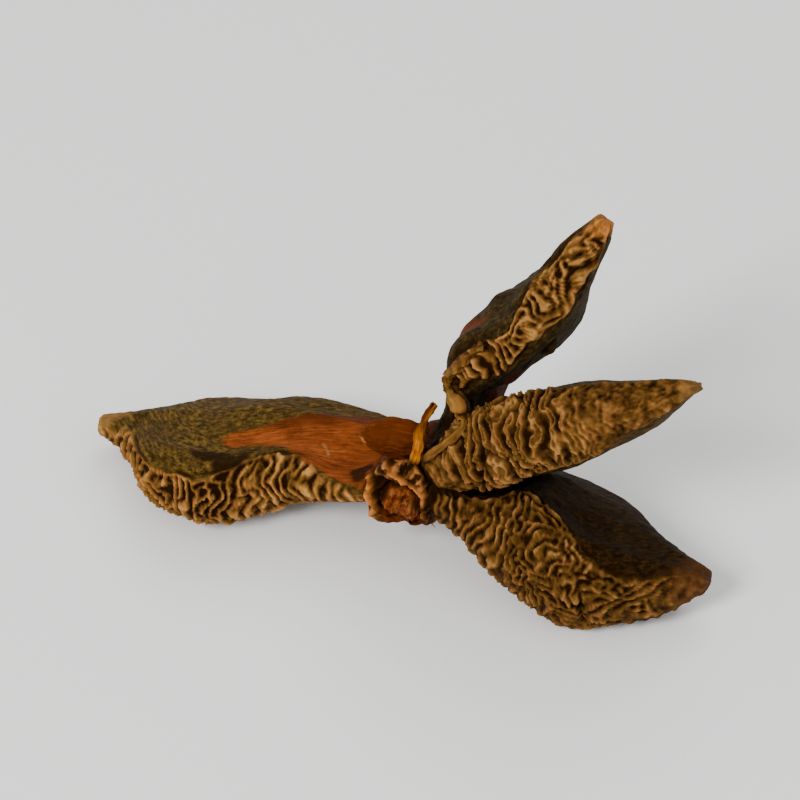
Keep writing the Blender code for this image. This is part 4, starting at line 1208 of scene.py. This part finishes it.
def sliver_surface(sliver):
    """A torn sliver as rings along its path, fibrous, with an uneven end."""
    end_seed, fibre_seed, lump_seed, fold_seed = (sliver["seed"] + step for step in range(4))
    stops = np.array([star_point(*stop) for stop in sliver["path"]])
    gone = np.concatenate([[0], np.cumsum(np.linalg.norm(np.diff(stops, axis=0), axis=1))])
    s = np.linspace(0, 1, SLIVER_ROWS)
    centre = np.stack([smooth_through(list(zip(gone / gone[-1], stops[:, i])), s) for i in range(3)], -1)
    along = unit(np.gradient(centre, axis=0))
    stalk = star_axes()[2]
    level = unit(stalk - along * (along @ stalk)[:, None])
    upright = np.cross(along, level)
    turn = math.radians(sliver["turn"])
    wide = level * math.cos(turn) + upright * math.sin(turn)
    thick = upright * math.cos(turn) - level * math.sin(turn)
    s = s[:, None]
    angle = np.linspace(0, 2 * math.pi, SLIVER_AROUND, endpoint=False)[None, :]
    flat_back = np.sign(np.sin(angle)) * np.abs(np.sin(angle)) ** 0.8
    across = 0.5 * straight_through(sliver["wide"], s) * np.cos(angle)
    deep = 0.5 * straight_through(sliver["thick"], s) * flat_back
    web = sliver.get("web", 1.0)
    bead = smoothstep(0.2, 0.7, np.cos(angle))
    deep = deep * (web + (1 - web) * bead)
    forward = gone[-1] * s + 0 * angle
    spot = np.stack([forward, across, deep], -1)
    ragged = RAGGED_END * smoothstep(0.6, 1.0, s) * grit(end_seed, spot * [0, 1, 1], 0.5)
    points = centre[:, None] + across[..., None] * wide[:, None] + deep[..., None] * thick[:, None]
    points = points + ragged[..., None] * along[:, None]
    long_fibres = FIBRE_HEIGHT * grit(fibre_seed, spot * [0.25, 1, 1], 0.3)
    fibres = long_fibres + FIBRE_HEIGHT * grit(lump_seed, spot, 0.7)
    # Pale along the top of the keel root's bead and on its knob: a painted highlight, with rubbed bark.
    rubbed_and_highlight = bead * (web < 1) * np.clip(0.35 + 8 * fibres, 0, 0.8)
    folds = 0 * across
    if web < 1:
        creased = smoothstep(*sliver["creased"], s)
        swing = 0.45 * wander(fold_seed, spot, 0.9)
        wave = np.sin(2 * math.pi * (forward / FOLD_PITCH + swing + 0.3 * across))
        at, long, height = sliver["knob"]
        knob = bell((s - at) / long) * bead
        folds = FOLD_HEIGHT * creased * wave + height * knob
        rubbed_and_highlight = 0.6 * np.maximum(rubbed_and_highlight * (1 - creased * (1 - smoothstep(-0.2, 0.7, wave))), knob)
    points = points + outward_normals(points) * (fibres + folds)[..., None]
    start = 1 - smoothstep(0.0, 0.12, s)
    facts = {
        "crest": np.clip(0.5 + fibres / 0.1, 0, 1),
        # Painted shade at the sliver's foot by the hub, beside the keel root's bead and in the valleys of its
        # folds.
        "groove_and_shade": np.clip(np.maximum(start, (1 - web) * (1 - bead) - 4 * np.minimum(folds, 0)), 0, 1),
        "worn": np.maximum(smoothstep(*sliver["pale"], s), rubbed_and_highlight),
        "faded": smoothstep(*sliver.get("faded", NEVER), s) * (0.55 + 0.45 * np.cos(angle + 0.8)),
        "torn": smoothstep(0.3, 0.9, s) + 0 * angle,
        "grain": spot,
    }
    return points, facts


# A torn fibre: its sides and rings, the shares of its width that its foot and tip have, how far it bends,
# and the share of its length that is rooted in the wood. Then the least and the most that one is scaled by,
# its width, how far it strays from straight out, and how far it is turned to either side, in radians.
FIBRE_SIDES, FIBRE_RINGS = 6, 5
FOOT_SHARE, TIP_SHARE = 0.5, 0.1
FIBRE_BEND, FIBRE_ROOTED = 0.45, 0.15
LEAST_SCALE, MOST_SCALE = (0.6, 0.6, 0.35), (1.5, 0.9, 1.2)
FIBRE_WIDTH, FIBRE_STRAY, FIBRE_SPIN = 0.13 * MM, 0.7, 3
SPIN_SEED, SCALE_SEED = 5, 9
PER_SQUARE_MILLIMETRE = 1e6


def fibre_tree():
    """A geometry node tree that grows bent, tapered fibres out of a mesh where its torn fact is high."""
    tree = bpy.data.node_groups.new("Torn fibres", "GeometryNodeTree")
    inputs = (
        ("Mesh", "NodeSocketGeometry", None),
        ("Density", "NodeSocketFloat", 2.0 * PER_SQUARE_MILLIMETRE),
        ("Length", "NodeSocketFloat", 0.7 * MM),
        ("Width", "NodeSocketFloat", 0.1 * MM),
        ("Stray", "NodeSocketFloat", 0.6),
        ("Seed", "NodeSocketInt", 1),
        ("Material", "NodeSocketMaterial", None),
    )
    for name, kind, default in inputs:
        socket = tree.interface.new_socket(name, in_out="INPUT", socket_type=kind)
        if default is not None:
            socket.default_value = default
    tree.interface.new_socket("Fibres", in_out="OUTPUT", socket_type="NodeSocketGeometry")
    given = tree.nodes.new("NodeGroupInput").outputs

    def add(kind, settings=(), **sockets):
        """A node. A socket is named by its own name, or by i and its number where names repeat."""
        node = tree.nodes.new(kind)
        for name, value in settings:
            setattr(node, name, value)
        for name, value in sockets.items():
            numbered = name[0] == "i" and name[1:].isdigit()
            socket = node.inputs[int(name[1:]) if numbered else name.replace("_", " ")]
            if isinstance(value, bpy.types.NodeSocket):
                tree.links.new(value, socket)
            else:
                socket.default_value = value
        return node

    def maths(operation, a, b):
        return add("ShaderNodeMath", [("operation", operation)], i0=a, i1=b).outputs[0]

    def random(low, high, seed):
        vectors = [("data_type", "FLOAT_VECTOR")]
        return add("FunctionNodeRandomValue", vectors, i0=low, i1=high, Seed=seed).outputs["Value"]

    torn = add("GeometryNodeInputNamedAttribute", [("data_type", "FLOAT")], Name="torn").outputs["Attribute"]
    density = maths("MULTIPLY", given["Density"], maths("POWER", torn, 2.0))
    spots = add(
        "GeometryNodeDistributePointsOnFaces", Mesh=given["Mesh"], Density=density, Seed=given["Seed"]
    ).outputs
    foot = maths("MULTIPLY", given["Width"], FOOT_SHARE)
    tip = maths("MULTIPLY", given["Width"], TIP_SHARE)
    cone = add(
        "GeometryNodeMeshCone", Vertices=FIBRE_SIDES, Side_Segments=FIBRE_RINGS, Radius_Bottom=foot,
        Radius_Top=tip, Depth=given["Length"],
    )
    place = add("GeometryNodeInputPosition").outputs[0]
    height = add("ShaderNodeSeparateXYZ", Vector=place).outputs["Z"]
    bend = maths("DIVIDE", maths("MULTIPLY", maths("POWER", height, 2.0), FIBRE_BEND), given["Length"])
    sunk = maths("MULTIPLY", given["Length"], -FIBRE_ROOTED)
    offset = add("ShaderNodeCombineXYZ", X=bend, Z=sunk).outputs[0]
    fibre = add("GeometryNodeSetPosition", Geometry=cone.outputs["Mesh"], Offset=offset).outputs[0]
    stray = random((-1, -1, -1), (1, 1, 1), given["Seed"])
    stray = add("ShaderNodeVectorMath", [("operation", "SCALE")], i0=stray, Scale=given["Stray"]).outputs[0]
    way = add("ShaderNodeVectorMath", [("operation", "ADD")], i0=spots["Normal"], i1=stray).outputs[0]
    spin = random((0, 0, -FIBRE_SPIN), (0, 0, FIBRE_SPIN), SPIN_SEED)
    turned = add("FunctionNodeAlignRotationToVector", [("axis", "Z")], Rotation=spin, Vector=way).outputs[0]
    grown = add(
        "GeometryNodeInstanceOnPoints", Points=spots["Points"], Instance=fibre, Rotation=turned,
        Scale=random(LEAST_SCALE, MOST_SCALE, SCALE_SEED),
    ).outputs[0]
    real = add("GeometryNodeRealizeInstances", Geometry=grown).outputs[0]
    dressed = add("GeometryNodeSetMaterial", Geometry=real, Material=given["Material"]).outputs[0]
    tree.links.new(dressed, tree.nodes.new("NodeGroupOutput").inputs[0])
    return tree


def grow_fibres(tree, name, source, values):
    """A piece of fibres grown on another piece, whose own mesh stays as it is."""
    modifier = source.modifiers.new("fibres", "NODES")
    modifier.node_group = tree
    for item in tree.interface.items_tree:
        if item.in_out == "INPUT" and item.name in values:
            modifier[item.identifier] = values[item.name]
    evaluated = source.evaluated_get(bpy.context.evaluated_depsgraph_get())
    data = bpy.data.meshes.new_from_object(evaluated)
    source.modifiers.remove(modifier)
    data.name = name
    for polygon in data.polygons:
        polygon.use_smooth = True
    if not data.materials:
        data.materials.append(values["Material"])
    piece = bpy.data.objects.new(name, data)
    bpy.context.scene.collection.objects.link(piece)
    return piece


def colour_property(name, description, default):
    """An opaque colour that the user can change."""
    return bpy.props.FloatVectorProperty(
        name=name, description=description, default=rgb(*default), size=4, subtype="COLOR", min=0.0, max=1.0
    )


class STARANISE_PG_bark(bpy.types.PropertyGroup):
    """Sizes and colours of the dried bark."""

    wrinkle_depth: bpy.props.FloatProperty(
        name="Wrinkle depth", description="Depth of the keel's wrinkles as a share of the real one",
        default=1.0, min=0.0, max=2.0, subtype="FACTOR",
    )
    flank_depth: bpy.props.FloatProperty(
        name="Flank grain", description="Depth of the fine wrinkles on the flanks",
        default=0.03 * MM, min=0.0, max=0.2 * MM, unit="LENGTH", subtype="DISTANCE", precision=5,
    )
    crest_colour: colour_property("Crests", "Wrinkle crests on the keel", (0.185, 0.08, 0.016))
    # The furrow colour is the near-black of painted shade in furrows, creases, cracks and between pieces, and
    # of the darkest streaks of the red skin.
    furrow_shade_colour: colour_property("Furrows", "Bottoms of the wrinkles and creases", (0.012, 0.0046, 0.0008))
    # Beaks and pale scratches are real wear; on the highest crests this colour is rubbed bark and a painted
    # highlight.
    worn_and_highlight_colour: colour_property("Worn ends", "Beaks and rubbed crests", (0.33, 0.16, 0.045))
    facet_colour: colour_property("Red facet", "Smooth red brown skin beside the keel", (0.27, 0.06, 0.011))
    facet_dark: colour_property(
        "Red facet's streaks", "Dark streaks in the red brown skin", (0.15, 0.031, 0.005)
    )
    facet_pale: colour_property(
        "Red facet, pale", "Palest streaks in the red brown skin", (0.36, 0.118, 0.022)
    )
    inner_colour: colour_property("Inside", "Smooth lining of the hollows", (0.17, 0.075, 0.02))
    inner_dark: colour_property("Inside, dark", "Dark streaks of the lining", (0.04, 0.016, 0.005))


class STARANISE_PG_torn(bpy.types.PropertyGroup):
    """Colours and splinters of the torn wood."""

    fibre_density: bpy.props.FloatProperty(
        name="Torn fibres", description="How many fibres stand on a square millimetre of torn wood",
        default=2.2, min=0.0, max=10.0,
    )
    fibre_length: bpy.props.FloatProperty(
        name="Fibre length", description="Length of the longest torn fibres",
        default=0.42 * MM, min=0.0, max=3 * MM, unit="LENGTH", subtype="DISTANCE", precision=5,
    )
    torn_colour: colour_property("Torn wood", "Broken tissue at the hub", (0.088, 0.018, 0.002))
    torn_dark: colour_property("Torn wood, dark", "Dark fibres of the broken tissue", (0.065, 0.013, 0.0015))
    fresh_colour: colour_property("Fresh wood", "Brightest broken tissue", (0.46, 0.145, 0.006))
    rubbed_colour: colour_property(
        "Rubbed bark", "Bark of the narrow root of the upper pod", (0.125, 0.06, 0.012)
    )
    # The pale edges' colour is also the painted highlight along the keel root's bead and knob.
    pale_colour: colour_property("Pale edges", "Fresh edges of the broken tissue", (0.34, 0.14, 0.03))
    rim_colour: colour_property("Rim", "Ridges round the stalk scar", (0.36, 0.14, 0.034))
    core_colour: colour_property("Scar", "Core of the stalk scar", (0.16, 0.036, 0.007))
    core_dark: colour_property("Scar, dark", "Dark spots of the scar", (0.05, 0.012, 0.002))
    # The furrow colour is the near-black of painted shade in the hub's moat and hollows, where pods meet it,
    # and at the slivers' feet and folds.
    furrow_shade_colour: colour_property("Furrows", "Dark creases at the hub", (0.012, 0.0046, 0.0008))
    crest_colour: colour_property("Lumps", "Lower parts of the rim's lumps", (0.12, 0.048, 0.012))


class STARANISE_PG_stage(bpy.types.PropertyGroup):
    """The floor, the lights and the camera."""

    floor_colour: colour_property("Floor", "The plain floor", (0.92, 0.915, 0.9))
    elevation: bpy.props.FloatProperty(
        name="Camera elevation", description="Angle of the camera above the floor",
        default=math.radians(42), min=0.0, max=math.radians(90), subtype="ANGLE", unit="ROTATION",
    )
    fill: bpy.props.FloatProperty(
        name="Fill", description="Share of the picture's width that the piece takes",
        default=0.78, min=0.1, max=1.0, subtype="FACTOR",
    )
    key_power: bpy.props.FloatProperty(
        name="Key light", description="Power of the large soft light",
        default=0.66, min=0.0, max=10.0, unit="POWER",
    )


class STARANISE_OT_pods(bpy.types.Operator):
    """Make the four wrinkled pods"""

    bl_idname = "star_anise.pods"
    bl_label = "Pods"

    def execute(self, context):
        settings = context.scene.star_anise_bark
        for name in PODS:
            points, facts = pod_surface(name, settings)
            points, facts = capped(points, facts, CAP_ROWS)
            material = bark("bark_" + name, settings, PODS[name])
            settle(make_piece("pod_" + name, points, facts, material))
        return {"FINISHED"}


class STARANISE_OT_hub(bpy.types.Operator):
    """Make the hub with its stalk scar"""

    bl_idname = "star_anise.hub"
    bl_label = "Hub"

    def execute(self, context):
        settings = context.scene.star_anise_torn
        points, facts = hub_surface()
        settle(make_piece("hub", points, facts, scar_wood("scar_wood", settings)))
        return {"FINISHED"}


class STARANISE_OT_slivers(bpy.types.Operator):
    """Make the torn slivers at the hub"""

    bl_idname = "star_anise.slivers"
    bl_label = "Torn slivers"

    def execute(self, context):
        settings = context.scene.star_anise_torn
        woods = {
            "torn": torn_wood("torn_wood", settings, settings.torn_colour, settings.torn_dark),
            "fresh": torn_wood("fresh_wood", settings, settings.fresh_colour, settings.torn_colour),
            "crest": torn_wood("rubbed_bark", settings, settings.rubbed_colour, settings.torn_dark),
        }
        for name, sliver in SLIVERS.items():
            points, facts = sliver_surface(sliver)
            points, facts = capped(points, facts, SLIVER_CAP_ROWS)
            settle(make_piece("torn_" + name, points, facts, woods[sliver["tone"]]))
        return {"FINISHED"}


class STARANISE_OT_fibres(bpy.types.Operator):
    """Grow torn fibres on the hub and the slivers"""

    bl_idname = "star_anise.fibres"
    bl_label = "Torn fibres"

    def execute(self, context):
        settings = context.scene.star_anise_torn
        wood = torn_wood("fibre_wood", settings, settings.pale_colour, settings.torn_colour)
        tree = fibre_tree()
        for seed, source in enumerate(FIBRE_SOURCES, 1):
            values = {
                "Density": settings.fibre_density * PER_SQUARE_MILLIMETRE,
                "Length": settings.fibre_length,
                "Width": FIBRE_WIDTH,
                "Stray": FIBRE_STRAY,
                "Seed": seed,
                "Material": wood,
            }
            settle(grow_fibres(tree, "fibres_" + source, bpy.data.objects[source], values))
        return {"FINISHED"}


# The lights: place from the piece's middle and width in metres, and the share of the key light's power.
LIGHTS = {
    "key": ((-0.13, -0.15, 0.16), 0.09, 1.0),
    "fill": ((0.20, -0.12, 0.12), 0.20, 0.2),
    "back": ((0.05, 0.20, 0.18), 0.16, 0.4),
}

# The floor's edge in metres, the even light from all sides, the lens in millimetres, and how many times the
# piece's size the camera's nearest and farthest planes are away.
FLOOR_SIZE, FLOOR_ROUGHNESS = 4.0, 0.9
SKY_COLOUR, SKY_STRENGTH = (0.95, 0.95, 0.95, 1.0), 0.68
LENS, SENSOR = 250.0, 36.0
CLIP_START, CLIP_END = 0.05, 500


class STARANISE_OT_stage(bpy.types.Operator):
    """Make the floor, the lights and the camera"""

    bl_idname = "star_anise.stage"
    bl_label = "Stage"

    def execute(self, context):
        settings = context.scene.star_anise_stage
        low, high = CAD_BOX
        middle, size = (low + high) / 2, (high - low).length
        bpy.ops.mesh.primitive_plane_add(size=FLOOR_SIZE)
        floor = context.object
        floor.name = floor.data.name = "floor"
        plain = bpy.data.materials.new("floor_paint")
        surface = Nodes(plain).surface
        surface.inputs["Base Color"].default_value = settings.floor_colour
        surface.inputs["Roughness"].default_value = FLOOR_ROUGHNESS
        floor.data.materials.append(plain)
        for name, (place, width, share) in LIGHTS.items():
            data = bpy.data.lights.new(name, "AREA")
            data.size, data.energy = width, share * settings.key_power
            light = bpy.data.objects.new(name, data)
            light.location = middle + Vector(place)
            light.rotation_euler = (middle - light.location).to_track_quat("-Z", "Y").to_euler()
            context.scene.collection.objects.link(light)
        world = context.scene.world or bpy.data.worlds.new("world")
        context.scene.world = world
        world.use_nodes = True
        sky = world.node_tree.nodes["Background"]
        sky.inputs["Color"].default_value = SKY_COLOUR
        sky.inputs["Strength"].default_value = SKY_STRENGTH
        lens = bpy.data.cameras.new("camera")
        lens.lens, lens.sensor_width = LENS, SENSOR
        camera = bpy.data.objects.new("camera", lens)
        away = (high.x - low.x) / settings.fill * LENS / SENSOR
        back = Vector((0.0, -math.cos(settings.elevation), math.sin(settings.elevation)))
        camera.location = middle + back * away
        camera.rotation_euler = (-back).to_track_quat("-Z", "Y").to_euler()
        lens.clip_start, lens.clip_end = CLIP_START * size, CLIP_END * size
        context.scene.collection.objects.link(camera)
        context.scene.camera = camera
        return {"FINISHED"}


class STARANISE_PT_sidebar(bpy.types.Panel):
    """The makers and their settings"""

    bl_label = "Star anise"
    bl_space_type = "VIEW_3D"
    bl_region_type = "UI"
    bl_category = "Star anise"

    def draw(self, context):
        scene = context.scene
        for group, makers in (
            (scene.star_anise_bark, (STARANISE_OT_pods,)),
            (scene.star_anise_torn, (STARANISE_OT_hub, STARANISE_OT_slivers, STARANISE_OT_fibres)),
            (scene.star_anise_stage, (STARANISE_OT_stage,)),
        ):
            box = self.layout.box()
            for name in group.bl_rna.properties.keys():
                if name not in ("rna_type", "name"):
                    box.prop(group, name)
            for maker in makers:
                box.operator(maker.bl_idname)


GROUPS = {
    "star_anise_bark": STARANISE_PG_bark,
    "star_anise_torn": STARANISE_PG_torn,
    "star_anise_stage": STARANISE_PG_stage,
}
MAKERS = (STARANISE_OT_pods, STARANISE_OT_hub, STARANISE_OT_slivers, STARANISE_OT_fibres, STARANISE_OT_stage)


def register():
    for cls in (*GROUPS.values(), *MAKERS, STARANISE_PT_sidebar):
        bpy.utils.register_class(cls)
    for name, cls in GROUPS.items():
        setattr(bpy.types.Scene, name, bpy.props.PointerProperty(type=cls))


def unregister():
    for name in GROUPS:
        delattr(bpy.types.Scene, name)
    for cls in (STARANISE_PT_sidebar, *MAKERS[::-1], *list(GROUPS.values())[::-1]):
        bpy.utils.unregister_class(cls)


def main():
    """Registers the add-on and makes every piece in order."""
    register()
    bpy.ops.star_anise.pods()
    bpy.ops.star_anise.hub()
    bpy.ops.star_anise.slivers()
    bpy.ops.star_anise.fibres()
    bpy.ops.star_anise.stage()


if __name__ == "__main__":
    main()
